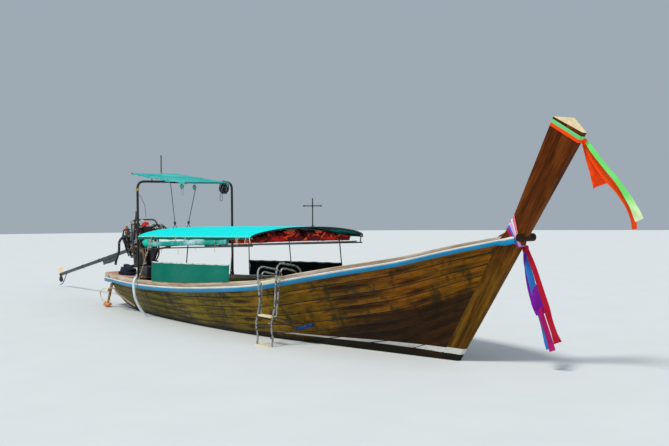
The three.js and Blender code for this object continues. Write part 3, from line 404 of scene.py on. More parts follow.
def sawn(node, name, finish, axis, pitch, gap, bevel=0.002, seed=3):
    """A CAD solid sawn into boards across an axis, with a gap between them."""
    low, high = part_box(node)
    count = max(1, round((high[axis] - low[axis]) / pitch))
    rows = spread(low[axis] - gap, high[axis] + gap, count + 1)
    direction = Vector([float(n == axis) for n in range(3)])
    whole = bmesh.new()
    levels = random.Random(seed)
    for near, far in zip(rows, rows[1:]):
        work = node_mesh(node)
        for place, normal in ((near + gap / 2, -direction), (far - gap / 2, direction)):
            geometry = work.verts[:] + work.edges[:] + work.faces[:]
            result = bmesh.ops.bisect_plane(work, geom=geometry, plane_co=direction * place, plane_no=normal,
                clear_outer=True)
            edges = [item for item in result["geom_cut"] if isinstance(item, bmesh.types.BMEdge)]
            bmesh.ops.edgenet_fill(work, edges=edges)
        level = levels.random()
        layer = work.faces.layers.float.new("board")
        for face in work.faces:
            face[layer] = level
        part = bpy.data.meshes.new("part")
        work.to_mesh(part)
        work.free()
        whole.from_mesh(part)
        bpy.data.meshes.remove(part)
    mesh = bpy.data.meshes.new(name)
    whole.to_mesh(mesh)
    whole.free()
    return finished(name, mesh, "hull", finish, (node,), bevel, 30.0, 1)


# Finishes


class Finish:
    """A material in the making: its nodes, and the calls that add them."""

    def __init__(self, name, **shader):
        self.material = bpy.data.materials.new(name)
        self.material.use_nodes = True
        self.tree = self.material.node_tree
        self.tree.nodes.clear()
        self.shader = self.add("ShaderNodeBsdfPrincipled", **shader)
        output = self.add("ShaderNodeOutputMaterial")
        self.tree.links.new(self.shader.outputs[0], output.inputs["Surface"])

    def add(self, kind, settings=None, **inputs):
        node = self.tree.nodes.new(kind)
        for key, value in (settings or {}).items():
            setattr(node, key, value)
        for key, value in inputs.items():
            self.put(node.inputs[key.replace("_", " ")], value)
        return node

    def put(self, socket, value):
        if isinstance(value, bpy.types.NodeSocket):
            self.tree.links.new(value, socket)
        elif isinstance(value, (tuple, list)) and len(value) == 3 and socket.type == "RGBA":
            socket.default_value = (*value, 1)
        else:
            socket.default_value = value

    def set(self, name, value):
        self.put(self.shader.inputs[name], value)

    def place(self, source="Object", scale=(1, 1, 1), turn=(0, 0, 0), shift=(0, 0, 0)):
        coordinates = self.add("ShaderNodeTexCoord").outputs[source]
        if any(turn):
            coordinates = self.add("ShaderNodeMapping", Vector=coordinates, Rotation=turn).outputs[0]
        return self.add("ShaderNodeMapping", Vector=coordinates, Scale=scale, Location=shift).outputs[0]

    def noise(self, place, scale, detail=4.0, rough=0.6, distortion=0.0):
        return self.add("ShaderNodeTexNoise", Vector=place, Scale=scale, Detail=detail, Roughness=rough,
            Distortion=distortion).outputs["Fac"]

    def ramp(self, factor, stops):
        node = self.add("ShaderNodeValToRGB", Fac=factor)
        elements = node.color_ramp.elements
        while len(elements) < len(stops):
            elements.new(0.5)
        for element, (place, colour) in zip(elements, stops):
            element.position = place
            element.color = (*colour, 1) if isinstance(colour, tuple) else (colour, colour, colour, 1)
        return node.outputs["Color"]

    def level(self, factor, low, high, start=0.0, end=1.0):
        return self.add("ShaderNodeMapRange", Value=factor, From_Min=low, From_Max=high, To_Min=start,
            To_Max=end).outputs[0]

    def mix(self, factor, first, second, blend="MIX"):
        node = self.add("ShaderNodeMix", {"data_type": "RGBA", "blend_type": blend})
        self.put(node.inputs[0], factor)
        self.put(node.inputs[6], first)
        self.put(node.inputs[7], second)
        return node.outputs[2]

    def maths(self, operation, first, second=0.5, clamp=False):
        node = self.add("ShaderNodeMath", {"operation": operation, "use_clamp": clamp})
        self.put(node.inputs[0], first)
        self.put(node.inputs[1], second)
        return node.outputs[0]

    def split(self, vector):
        return self.add("ShaderNodeSeparateXYZ", Vector=vector).outputs

    def attribute(self, name):
        return self.add("ShaderNodeAttribute", {"attribute_name": name}).outputs["Fac"]

    def bump(self, height, strength, distance, normal=None):
        node = self.add("ShaderNodeBump", Height=height, Strength=strength, Distance=distance)
        if normal:
            self.put(node.inputs["Normal"], normal)
        return node.outputs[0]


def timber(name, pale, dark, scale=(1.5, 28, 28), turn=(0, 0, 0), source="Object", rough=(0.35, 0.6), wear=None,
        coat=0.0, worn=0.25, bite=(0.32, 0.68)):
    """Oiled or varnished wood with its grain along X of the turned coordinates, uneven from board to board."""
    f = Finish(name, Coat_Weight=coat, Coat_Roughness=0.25, Specular_IOR_Level=0.07)
    place = f.place(source, scale, turn)
    grain = f.noise(place, 1.0, 6, 0.62, 0.6)
    streaks = f.noise(f.place(source, tuple(4 * s for s in scale), turn), 1.0, 3, 0.5)
    broad = tuple(0.09 * s + 0.35 for s in scale)
    blotch = f.noise(f.place(source, broad, turn), 1.6, 3, 0.55)
    colour = f.ramp(grain, [(bite[0], dark), (bite[1], pale)])
    shade = f.maths("ADD", f.maths("MULTIPLY", f.attribute("board"), 0.7), f.maths("MULTIPLY", blotch, 0.6))
    tint = f.ramp(shade, [(0.2, 0.62), (0.55, 0.95), (0.9, 1.0)])
    colour = f.mix(0.85, colour, tint, "MULTIPLY")
    colour = f.mix(f.level(streaks, 0.35, 0.5, 0.45, 0.0), colour, tuple(0.45 * c for c in dark))
    if wear:
        patch = f.noise(f.place(source, tuple(0.14 * s + 0.25 for s in scale), turn, (3, 1, 2)), 2.4, 6, 0.72)
        colour = f.mix(f.level(patch, 0.47, 0.64, 0.0, worn), colour, wear)
    f.set("Base Color", colour)
    f.set("Roughness", f.level(blotch, 0.3, 0.7, *rough))
    f.set("Normal", f.bump(f.maths("ADD", grain, streaks), 0.35, 0.0012))
    return f


def paint(name, colour, under=(0.16, 0.12, 0.08), rough=(0.3, 0.5), chips=0.62, dirt=(0.1, 0.09, 0.07), grime=0.3,
        metallic=0.0, fine=26.0):
    """Brushed-on paint: uneven, dirty in patches, and chipped to what is under it."""
    f = Finish(name, Metallic=metallic, Specular_IOR_Level=0.15)
    place = f.place()
    broad = f.noise(place, 2.6, 5, 0.65)
    small = f.noise(place, fine, 6, 0.7)
    brush = f.noise(f.place(scale=(6, 60, 60)), 1.0, 3)
    tone = f.mix(f.level(broad, 0.3, 0.7, 0, 1), tuple(0.82 * c for c in colour),
        tuple(min(1, 1.1 * c + 0.01) for c in colour))
    tone = f.mix(f.level(f.noise(place, 7, 6, 0.7), 0.5, 0.72, 0, grime), tone, dirt)
    chipped = f.level(small, chips, chips + 0.03, 0, 1)
    f.set("Base Color", f.mix(chipped, tone, under))
    f.set("Roughness", f.level(f.maths("ADD", broad, f.maths("MULTIPLY", chipped, 0.3)), 0.3, 0.9, *rough))
    height = f.maths("ADD", f.maths("MULTIPLY", chipped, -1.0), f.maths("MULTIPLY", brush, 0.35))
    f.set("Normal", f.bump(height, 0.4, 0.0008))
    return f


def cloth(name, colour, back=None, thread=900.0, rough=0.75, sheen=0.01, fade=0.25, fold=0.35, pale=None):
    """Woven sheet: a fine weave, soft creases and sun-faded patches."""
    f = Finish(name, Sheen_Weight=sheen, Sheen_Roughness=0.5, Specular_IOR_Level=0.06)
    uv = f.add("ShaderNodeUVMap", {"uv_map": "Metres"}).outputs[0]
    warp = f.add("ShaderNodeTexWave", {"bands_direction": "X"}, Vector=uv, Scale=thread, Distortion=0.4)
    weft = f.add("ShaderNodeTexWave", {"bands_direction": "Y"}, Vector=uv, Scale=thread, Distortion=0.4)
    weave = f.maths("MULTIPLY", warp.outputs["Fac"], weft.outputs["Fac"])
    place = f.place()
    faded = f.noise(place, 1.8, 4, 0.6)
    creases = f.noise(place, 9, 4, 0.55, 1.2)
    tone = f.mix(f.level(faded, 0.42, 0.72, 0, fade), colour, pale or tuple(min(1, c * 1.25 + 0.05) for c in colour))
    tone = f.mix(f.level(weave, 0, 1, 0, 0.12), tone, tuple(0.7 * c for c in colour))
    tone = f.mix(f.level(f.noise(place, 4, 6, 0.7), 0.55, 0.8, 0, 0.25), tone, tuple(0.55 * c for c in colour))
    if back:
        tone = f.mix(f.add("ShaderNodeNewGeometry").outputs["Backfacing"], tone, back)
    f.set("Base Color", tone)
    f.set("Roughness", f.level(creases, 0.3, 0.7, rough - 0.1, rough + 0.1))
    height = f.maths("ADD", f.maths("MULTIPLY", weave, 0.12), creases)
    f.set("Normal", f.bump(height, fold, 0.004))
    return f


def iron(name, colour, rust=(0.21, 0.075, 0.025), rusty=0.35, oil=0.5, rough=(0.35, 0.65), metallic=0.75):
    """Cast or rolled metal with oil and rust in patches."""
    f = Finish(name, Metallic=metallic)
    place = f.place()
    broad = f.noise(place, 7, 5, 0.65)
    small = f.noise(place, 55, 6, 0.7)
    tone = f.mix(f.level(small, 0.35, 0.7, 0, 0.6), tuple(0.7 * c for c in colour), tuple(1.3 * c for c in colour))
    tone = f.mix(f.level(broad, 0.52, 0.66, 0, rusty), tone, rust)
    tone = f.mix(f.level(f.noise(place, 16, 5, 0.6), 0.5, 0.7, 0, oil), tone, (0.012, 0.011, 0.01))
    f.set("Base Color", tone)
    f.set("Roughness", f.level(f.maths("MULTIPLY", broad, small), 0.1, 0.45, *rough))
    f.set("Normal", f.bump(small, 0.35, 0.0009))
    return f


def rope(name, colour, dark, lay=260.0, rough=0.85):
    """Twisted cord: strands run slantwise round it, with painted shade in the grooves between them."""
    f = Finish(name)
    uv = f.add("ShaderNodeUVMap", {"uv_map": "Metres"}).outputs[0]
    slant = f.add("ShaderNodeMapping", Vector=uv, Rotation=(0, 0, 0.75)).outputs[0]
    strands = f.add("ShaderNodeTexWave", {"wave_profile": "SIN"}, Vector=slant, Scale=lay, Distortion=0.8,
        Detail=2.0).outputs["Fac"]
    place = f.place()
    # Painted shade: the dark colour lies in the grooves between the strands.
    tone = f.mix(f.level(strands, 0.2, 0.8, 0, 1), dark, colour)
    tone = f.mix(f.level(f.noise(place, 12, 5), 0.4, 0.7, 0, 0.35), tone, tuple(0.6 * c for c in colour))
    f.set("Base Color", tone)
    f.set("Roughness", f.level(f.noise(place, 60, 2), 0.3, 0.7, rough - 0.08, rough + 0.08))
    f.set("Normal", f.bump(strands, 0.8, 0.002))
    return f


def moulded(name, colour, rough=(0.35, 0.55), dust=(0.35, 0.33, 0.29), dusty=0.2, grain=300.0, metallic=0.0):
    """Plastic or rubber with a fine grain, dust and scuffs."""
    f = Finish(name, Metallic=metallic)
    place = f.place()
    scuffs = f.noise(place, 14, 6, 0.72)
    tone = f.mix(f.level(f.noise(place, 3.5, 4), 0.35, 0.7, 0, 1), tuple(0.8 * c for c in colour),
        tuple(min(1, 1.12 * c) for c in colour))
    tone = f.mix(f.level(scuffs, 0.5, 0.75, 0, dusty), tone, dust)
    f.set("Base Color", tone)
    f.set("Roughness", f.level(scuffs, 0.3, 0.7, *rough))
    f.set("Normal", f.bump(f.noise(place, grain, 2), 0.15, 0.0005))
    return f


def strake_finish(name, pale, dark):
    """Oiled strakes: grain along each one, olive aft and red forward, stained below the rail, nearly black towards
    the water, with painted shade under the bow's flare, and a thin white line on the bow."""
    # The pale amber wear patches are partly worn timber and partly painted highlights on the oiled planks.
    f = timber(name, pale, dark, (0.95, 12, 1), source="UV", rough=(0.38, 0.6), wear=(0.46, 0.29, 0.006), coat=0.015,
        worn=0.6, bite=(0.38, 0.62))
    base = f.shader.inputs["Base Color"].links[0].from_socket
    x, _, z = f.split(f.place())[:3]
    hue = f.ramp(f.level(x, -5.0, 5.0), [(0.0, (0.82, 1.0, 1.0)), (0.45, (0.8, 0.8, 0.8)), (0.64, (0.9, 0.66, 0.6)),
        (0.8, (0.98, 0.5, 0.5)), (1.0, (1.0, 0.47, 0.6))])
    colour = f.mix(1.0, base, hue, "MULTIPLY")
    uneven = f.maths("SUBTRACT", f.noise(f.place(scale=(2.2, 2.2, 2.2)), 1.6, 5, 0.7), 0.5)
    drips = f.noise(f.place(scale=(6.5, 6.5, 0.8), shift=(2, 0, 0)), 1.0, 5, 0.68)
    colour = f.mix(f.level(drips, 0.51, 0.64, 0, 0.8), colour, (0.022, 0.02, 0.004))
    knots = f.noise(f.place(scale=(3.5, 3.5, 9)), 2.0, 4, 0.75)
    colour = f.mix(f.level(knots, 0.63, 0.7, 0, 0.8), colour, (0.012, 0.008, 0.003))
    # Painted shade: below a line that rises towards the bow the planks turn nearly black, which stands for the shade
    # under the flare; aft of the bow the line sits at the water, where the timber is wet and dark.
    limit = f.maths("MAXIMUM", f.maths("ADD", f.maths("MULTIPLY", x, 0.288), -0.375), 0.1)
    depth = f.maths("SUBTRACT", f.maths("ADD", z, f.maths("MULTIPLY", uneven, 0.22)), limit)
    colour = f.mix(f.level(depth, -0.06, 0.03, 0.88, 0), colour, (0.014, 0.0055, 0.0012))
    scum = f.level(f.maths("ADD", z, f.maths("MULTIPLY", uneven, 0.06)), 0.03, 0.08, 0.8, 0)
    colour = f.mix(scum, colour, (0.012, 0.014, 0.007))
    height = f.maths("ABSOLUTE", f.maths("SUBTRACT", f.maths("ADD", z, f.maths("MULTIPLY", uneven, 0.01)), 0.1095))
    band = f.maths("LESS_THAN", height, f.level(x, 1.8, 3.9, 0.0105, 0.033))
    band = f.maths("MULTIPLY", band, f.level(f.maths("ADD", x, uneven), 0.9, 1.5, 0, 0.9))
    f.set("Base Color", f.mix(band, colour, (0.66, 0.66, 0.62)))
    return f


def stem_finish(name, pale, dark):
    """The stem's timber, olive below the rail and redder above, with the white line and a black foot at the water."""
    f = timber(name, pale, dark, (22, 22, 0.9), (0, -0.58, 0), rough=(0.38, 0.6), wear=(0.3, 0.155, 0.012), worn=0.55)
    base = f.shader.inputs["Base Color"].links[0].from_socket
    z = f.split(f.place())[2]
    hue = f.ramp(f.level(z, 0.3, 2.5), [(0.0, (0.85, 0.8, 0.9)), (0.3, (1.0, 0.9, 1.0)), (0.55, (0.92, 0.52, 0.8)),
        (1.0, (0.98, 0.44, 0.7))])
    colour = f.mix(1.0, base, hue, "MULTIPLY")
    uneven = f.maths("SUBTRACT", f.noise(f.place(scale=(6, 6, 6)), 1.6, 4, 0.7), 0.5)
    height = f.maths("ADD", z, f.maths("MULTIPLY", uneven, 0.012))
    colour = f.mix(f.level(f.maths("ABSOLUTE", f.maths("SUBTRACT", height, 0.1125)), 0.034, 0.036, 0.92, 0), colour,
        (0.6, 0.62, 0.56))
    f.set("Base Color", f.mix(f.level(height, 0.074, 0.079, 0.95, 0), colour, (0.006, 0.007, 0.006)))
    return f


def two_tone(name, upper, lower, start, end):
    """A dyed strip that is paler from one distance along it to another."""
    f = cloth(name, upper, fade=0.3, **RIBBON)
    base = f.shader.inputs["Base Color"].links[0].from_socket
    along = f.split(f.add("ShaderNodeUVMap", {"uv_map": "Metres"}).outputs[0])[0]
    f.set("Base Color", f.mix(f.level(along, start, end, 0, 1), base, lower))
    return f


FINISHES = {}
RIBBON = {"thread": 700, "rough": 0.5, "sheen": 0.02}


def make_finishes(hull, fabric, machine):
    """All the finishes, from the colours in the settings."""
    made = {
        "strakes": strake_finish("oiled_strakes", tuple(hull.plank_pale), tuple(hull.plank_dark)),
        "bottom": strake_finish("bottom_strakes", tuple(0.6 * c for c in hull.plank_pale), tuple(hull.plank_dark)),
        "caulk": moulded("seam_caulk", (0.006, 0.004, 0.002), (0.7, 0.9)),
        "board": timber("bare_board", (0.62, 0.5, 0.38), (0.36, 0.22, 0.12), source="UV", scale=(1.5, 34, 1),
            rough=(0.55, 0.8), wear=(0.82, 0.74, 0.64), worn=0.6),
        "blue": paint("blue_rail_paint", tuple(hull.rail_blue), (0.1, 0.13, 0.14), chips=0.66, grime=0.22),
        "white": paint("white_line_paint", (0.8, 0.8, 0.77), (0.35, 0.3, 0.24), chips=0.67, grime=0.16),
        "stem": stem_finish("stem_timber", (0.185, 0.088, 0.004), (0.052, 0.02, 0.001)),
        # The stem's sawn top is pale, and its colour is pushed to full brightness, part of it painted sunlight on the
        # cut face.
        "sunlit_end_grain": timber("sunlit_end_grain", (1.0, 0.87, 0.57), (0.9, 0.7, 0.39), (9, 9, 9), rough=(0.6, 0.85)),
        "dark_wood": timber("dark_timber", (0.055, 0.026, 0.01), (0.018, 0.008, 0.004)),
        "rib_wood": timber("rib_timber", (0.22, 0.12, 0.045), (0.1, 0.05, 0.018), rough=(0.5, 0.75)),
        "floor_wood": timber("floor_timber", (0.32, 0.22, 0.13), (0.15, 0.095, 0.05), rough=(0.6, 0.85),
            wear=(0.46, 0.41, 0.34)),
        "stern_deck_wood": timber("stern_deck_timber", (0.66, 0.36, 0.25), (0.3, 0.13, 0.08), rough=(0.5, 0.75),
            wear=(0.8, 0.6, 0.45), worn=0.5),
        "deck_wood": timber("deck_timber", (0.36, 0.16, 0.1), (0.15, 0.055, 0.03), rough=(0.5, 0.75),
            wear=(0.42, 0.27, 0.19)),
        "seat_wood": timber("seat_timber", (0.36, 0.21, 0.08), (0.17, 0.09, 0.03), (28, 1.5, 28)),
        "pole_wood": timber("weathered_pole", (0.34, 0.31, 0.27), (0.17, 0.15, 0.125), rough=(0.7, 0.9)),
        "frame_paint": paint("frame_paint", (0.035, 0.033, 0.032), (0.2, 0.085, 0.03), chips=0.6, grime=0.3),
        "black_paint": paint("black_paint", (0.014, 0.015, 0.017), (0.16, 0.07, 0.03), (0.25, 0.45), 0.66, grime=0.2),
        "tarp": cloth("turquoise_tarp", tuple(fabric.canopy), (0.004, 0.17, 0.11), fade=0.35, pale=(0.0, 0.78, 0.8)),
        "tarp_edge": cloth("green_edge", (0.001, 0.085, 0.062), fade=0.5, pale=(0.01, 0.2, 0.15)),
        "roof_tarp": cloth("mint_tarp", tuple(fabric.roof), (0.1, 0.3, 0.27), fade=0.5, pale=(0.24, 0.66, 0.62)),
        "green_curtain": cloth("green_curtain", tuple(fabric.curtain), fade=0.3, fold=0.5),
        # The port curtain's cloth is dark, and its colour is darker still because the canopy's shade is painted in.
        "shaded_port_curtain": cloth("shaded_port_curtain", (0.004, 0.014, 0.018), (0.004, 0.014, 0.018), fade=0.2, fold=0.5),
        "hem": cloth("pale_hem", (0.55, 0.62, 0.58), fade=0.3),
        # Each cord's second colour is the painted shade in its grooves.
        "cream_rope": rope("cream_rope", (0.62, 0.54, 0.4), (0.3, 0.24, 0.16)),
        "white_cord": rope("white_cord", (0.8, 0.78, 0.66), (0.46, 0.42, 0.3), 600.0),
        "red_cord": rope("red_cord", (0.2, 0.016, 0.01), (0.05, 0.006, 0.004), 500.0),
        "brown_rope": rope("brown_rope", (0.33, 0.2, 0.1), (0.12, 0.065, 0.03), 500.0),
        "dark_cord": rope("dark_cord", (0.09, 0.085, 0.08), (0.03, 0.03, 0.03), 500.0),
        "transom_wood": timber("transom_timber", (0.22, 0.11, 0.04), (0.09, 0.04, 0.016), (24, 1.3, 24)),
        "amber_wood": timber("amber_stake", (0.55, 0.27, 0.06), (0.2, 0.085, 0.02), (24, 24, 1.5), (0, 0.48, 0),
            rough=(0.25, 0.45), coat=0.4),
        "rolled": cloth("rolled_cloth", (0.005, 0.3, 0.24), fade=1.0, fold=0.8, pale=(0.5, 0.74, 0.82)),
        "emerald": cloth("emerald_cloth", (0.0, 0.5, 0.34), fade=0.6, fold=0.8, pale=(0.02, 0.66, 0.5)),
        "jacket_orange": cloth("jacket_orange", (0.98, 0.085, 0.02), fade=0.5, fold=0.8, pale=(1.0, 0.22, 0.09)),
        "jacket_red": cloth("jacket_red", (0.55, 0.022, 0.016), fade=0.5, fold=0.8, pale=(0.85, 0.08, 0.05)),
        "jacket_dark": cloth("jacket_dark", (0.13, 0.012, 0.014), fade=0.4, fold=0.8, pale=(0.26, 0.03, 0.04)),
        "navy_cloth": cloth("navy_cloth", (0.006, 0.01, 0.022), fade=0.5, fold=1.0, pale=(0.05, 0.06, 0.09)),
        "black_webbing": cloth("black_webbing", (0.012, 0.012, 0.013), fade=0.15, thread=500),
        "ribbon_green": cloth("ribbon_green", (0.15, 0.68, 0.22), fade=0.4, **RIBBON, pale=(0.36, 0.86, 0.4)),
        "ribbon_two_tone": two_tone("ribbon_two_tone", (0.15, 0.66, 0.14), (0.78, 0.9, 0.52), 0.7, 0.98),
        "ribbon_orange": cloth("ribbon_orange", (1.0, 0.075, 0.006), fade=0.3, **RIBBON, pale=(1.0, 0.2, 0.03)),
        "ribbon_magenta": cloth("ribbon_magenta", (0.36, 0.006, 0.12), fade=0.3, **RIBBON),
        # The blue ribbon's colour is darker than its dye, with painted shade in it.
        "ribbon_blue_shaded": cloth("ribbon_blue_shaded", (0.025, 0.16, 0.52), fade=0.4, **RIBBON),
        "ribbon_lilac": cloth("ribbon_lilac", (0.72, 0.36, 0.72), fade=0.5, **RIBBON, pale=(0.86, 0.58, 0.84)),
        "ribbon_white": cloth("ribbon_white", (0.74, 0.76, 0.84), fade=0.4, thread=700, rough=0.5, sheen=0.05),
        "ribbon_pink": cloth("ribbon_pink", (0.82, 0.12, 0.17), fade=0.5, **RIBBON, pale=(0.9, 0.36, 0.4)),
        # The red ribbon's colour is darker than its dye, with painted shade in it.
        "ribbon_red_shaded": cloth("ribbon_red_shaded", (0.36, 0.004, 0.02), fade=0.25, **RIBBON),
        "ribbon_purple": cloth("ribbon_purple", (0.16, 0.008, 0.29), fade=0.3, **RIBBON),
        "ladder_paint": paint("ladder_paint", (0.34, 0.36, 0.33), (0.045, 0.028, 0.016), (0.2, 0.4), chips=0.52,
            grime=0.7, metallic=0.35),
        "pale_tread": paint("pale_tread", (0.76, 0.68, 0.44), (0.35, 0.28, 0.18), (0.45, 0.65), grime=0.3),
        "guard_paint": paint("guard_paint", (0.055, 0.075, 0.075), (0.3, 0.27, 0.22), (0.15, 0.3), grime=0.25,
            metallic=0.5),
        "shaft_paint": paint("shaft_paint", tuple(machine.shaft), (0.1, 0.06, 0.035), (0.3, 0.5), chips=0.66,
            grime=0.35),
        "cover_red": paint("cover_red", tuple(machine.cover), (0.1, 0.03, 0.02), (0.25, 0.45), chips=0.63, grime=0.3),
        "rust_paint": paint("rust_paint", (0.3, 0.075, 0.022), (0.11, 0.04, 0.02), (0.5, 0.8), chips=0.56, grime=0.4),
        "dusky_pipe": paint("dusky_pipe", (0.36, 0.25, 0.2), (0.22, 0.13, 0.08), (0.45, 0.7), chips=0.58, grime=0.35),
        "engine_iron": iron("engine_iron", tuple(machine.castings), oil=0.85),
        "greasy_iron": iron("greasy_iron", (0.017, 0.016, 0.017), rusty=0.3, oil=0.7),
        "rusty_iron": iron("rusty_iron", (0.13, 0.065, 0.035), rusty=0.8, oil=0.4, metallic=0.35),
        "iron_dark": iron("iron_dark", (0.05, 0.05, 0.052), rusty=0.25),
        "pale_block": paint("pale_block", (0.42, 0.56, 0.5), (0.2, 0.16, 0.1), (0.4, 0.6), grime=0.5),
        "dull_metal": iron("dull_metal", (0.42, 0.42, 0.41), rusty=0.3, oil=0.25, rough=(0.25, 0.5)),
        "brass": iron("brass", (0.62, 0.42, 0.12), rust=(0.2, 0.13, 0.04), rusty=0.4, oil=0.1, rough=(0.25, 0.45),
            metallic=0.9),
        "beige_blade": paint("beige_blade", (0.8, 0.6, 0.38), (0.34, 0.22, 0.12), (0.35, 0.6), grime=0.2),
        "dark_blade": paint("dark_blade", (0.035, 0.045, 0.04), (0.22, 0.17, 0.1), (0.25, 0.5), chips=0.6),
        "black_rubber": moulded("black_rubber", (0.016, 0.017, 0.018), (0.35, 0.6), dusty=0.15),
        "belt_rubber": moulded("belt_rubber", (0.01, 0.01, 0.01), (0.45, 0.65), dusty=0.1),
        "black_plastic": moulded("black_plastic", (0.02, 0.023, 0.027), dusty=0.2),
        "blue_plastic": moulded("blue_plastic", (0.035, 0.06, 0.1), dusty=0.25),
        # A pale yellow-green colour for a disc on the engine's top that faces the camera: a painted highlight.
        "pale_glint": moulded("pale_glint", (0.34, 0.42, 0.22), (0.2, 0.35)),
        # Cream plastic on the fuel tank's cap and the stern loop; on the engine the same cream paints highlights as
        # pale hoses, pipes and caps.
        "cream_plastic": moulded("cream_plastic", (0.74, 0.68, 0.48), dust=(0.45, 0.36, 0.22)),
        "orange_plastic": moulded("orange_plastic", (0.8, 0.25, 0.055), dust=(0.8, 0.55, 0.38), dusty=0.4),
        "pale_hose": moulded("pale_hose", (0.66, 0.76, 0.8), (0.2, 0.4), dust=(0.42, 0.55, 0.6), dusty=0.5),
        "brown_hose": moulded("brown_hose", (0.1, 0.06, 0.035), dusty=0.3),
        "blue_pad": cloth("blue_pad", (0.01, 0.035, 0.16), fade=0.5, fold=0.4, pale=(0.05, 0.13, 0.32)),
    }
    FINISHES.update((key, f.material) for key, f in made.items())


# Settings


def colour_setting(name, description, default):
    return bpy.props.FloatVectorProperty(name=name, description=description, default=default, size=3, subtype="COLOR",
        min=0, max=1)


class HullSettings(bpy.types.PropertyGroup):
    """Sizes and colours of the planked hull"""
    strakes: bpy.props.IntProperty(name="Strakes", description="Strakes on each side, bottom to sheer", default=12,
        min=6, max=20)
    seam: bpy.props.FloatProperty(name="Seam", description="Width of the groove at each seam", default=0.012,
        min=0.001, max=0.02, unit="LENGTH")
    plank_pale: colour_setting("Pale planks", "Lighter colour of the oiled strakes", (0.235, 0.185, 0.0015))
    plank_dark: colour_setting("Dark planks", "Darker colour of the oiled strakes", (0.028, 0.012, 0.0002))
    rail_blue: colour_setting("Rail blue", "Paint on the rub rail", (0.0, 0.235, 0.47))


class FabricSettings(bpy.types.PropertyGroup):
    """Colours and sizes of the canopy, roof and curtains"""
    canopy: colour_setting("Canopy", "Turquoise of the canopy sheet", (0.0, 0.69, 0.69))
    roof: colour_setting("Roof", "Mint of the small roof's sheet", (0.02, 0.36, 0.34))
    curtain: colour_setting("Curtain", "Green of the starboard curtain", (0.0, 0.15, 0.105))
    sag: bpy.props.FloatProperty(name="Sag", description="How far the canopy sinks between its bows", default=0.006,
        min=0, max=0.03, unit="LENGTH")


class MachineSettings(bpy.types.PropertyGroup):
    """Colours of the engine and its shaft"""
    castings: colour_setting("Castings", "Bare colour of the engine's castings", (0.02, 0.019, 0.02))
    cover: colour_setting("Cover", "Paint on the valve cover", (0.66, 0.01, 0.01))
    shaft: colour_setting("Shaft", "Paint on the shaft's tube", (0.006, 0.03, 0.034))


class BOAT_OT_camera(bpy.types.Operator):
    """Sets the camera as the photograph was taken"""
    bl_idname = "longtail.camera"
    bl_label = "Camera"

    def execute(self, context):
        look = vec(-0.806, 0.592, 0).normalized()
        right = look.cross(vec(0, 0, 1))
        pitch, roll = math.radians(0.92), math.radians(0.45)
        forward = look * math.cos(pitch) - vec(0, 0, math.sin(pitch))
        up = right.cross(forward)
        side = right * math.cos(roll) - up * math.sin(roll)
        top = right * math.sin(roll) + up * math.cos(roll)
        data = bpy.data.cameras.new("camera")
        data.lens, data.sensor_width = 53.81, 36.0
        camera = bpy.data.objects.new("camera", data)
        columns = Matrix((side, top, -forward)).transposed().to_4x4()
        camera.matrix_world = Matrix.Translation((12.51, -8.03, 1.8)) @ columns
        context.scene.collection.objects.link(camera)
        context.scene.camera = camera
        return {"FINISHED"}


def waterline():
    """The outline of the hull at the water, from its solids."""
    points = []
    for node in ("upper_planking_port", "upper_planking_starboard", "lower_planking_port", "lower_planking_starboard",
            "stem_post", "transom"):
        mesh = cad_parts[node].data
        for edge in mesh.edges:
            a, b = (mesh.vertices[i].co for i in edge.vertices)
            if (a.z < 0) != (b.z < 0):
                points.append(a.lerp(b, a.z / (a.z - b.z)).to_2d())
    return outline_of(sorted(points, key=lambda p: (p.x, p.y)))


class BOAT_OT_stage(bpy.types.Operator):
    """Lays a pale floor at the waterline, open where the hull floats in it, and lights it softly"""
    bl_idname = "longtail.stage"
    bl_label = "Stage"

    def execute(self, context):
        outline = waterline()
        middle = vec(-0.3, 0, 0).to_2d()
        rows = []
        for reach in (0.0, 3.0, 12.0, 60.0):
            rows.append([(p + (p - middle).normalized() * reach) if reach else p for p in outline])
        corners = [vec(p.x, p.y, 0) for row in rows for p in row]
        count = len(outline)
        faces = [(i * count + j, i * count + (j + 1) % count, (i + 1) * count + (j + 1) % count, (i + 1) * count + j)
            for i in range(len(rows) - 1) for j in range(count)]
        mesh = bpy.data.meshes.new("floor")
        mesh.from_pydata(corners, [], [tuple(reversed(face)) for face in faces])
        if mesh.polygons[0].normal.z < 0:
            mesh.flip_normals()
        floor = bpy.data.objects.new("floor", mesh)
        context.scene.collection.objects.link(floor)
        f = Finish("pale_floor", Roughness=0.75)
        f.set("Base Color", f.ramp(f.noise(f.place(), 1.2, 3),
            [(0.3, (0.63, 0.66, 0.67)), (0.7, (0.66, 0.68, 0.69))]))
        mesh.materials.append(f.material)
        context.scene.view_settings.view_transform = "Standard"
        world = bpy.data.worlds.new("studio")
        context.scene.world = world
        world.use_nodes = True
        world.node_tree.nodes["Background"].inputs[0].default_value = (0.72, 0.84, 0.95, 1)
        world.node_tree.nodes["Background"].inputs[1].default_value = 0.48
        for name, place, power, softness, colour in (
            ("key", (1.0, -6.0, 9.0), 2.6, 14, (1.0, 0.965, 0.9)),
            ("fill", (9.0, 1.0, 4.0), 0.9, 40, (0.9, 0.95, 1.0)),
        ):
            data = bpy.data.lights.new(name, "SUN")
            data.energy, data.angle, data.color = power, math.radians(softness), colour
            light = bpy.data.objects.new(name, data)
            light.rotation_euler = (-Vector(place)).to_track_quat("-Z", "Y").to_euler()
            context.scene.collection.objects.link(light)
        return {"FINISHED"}


# Hull


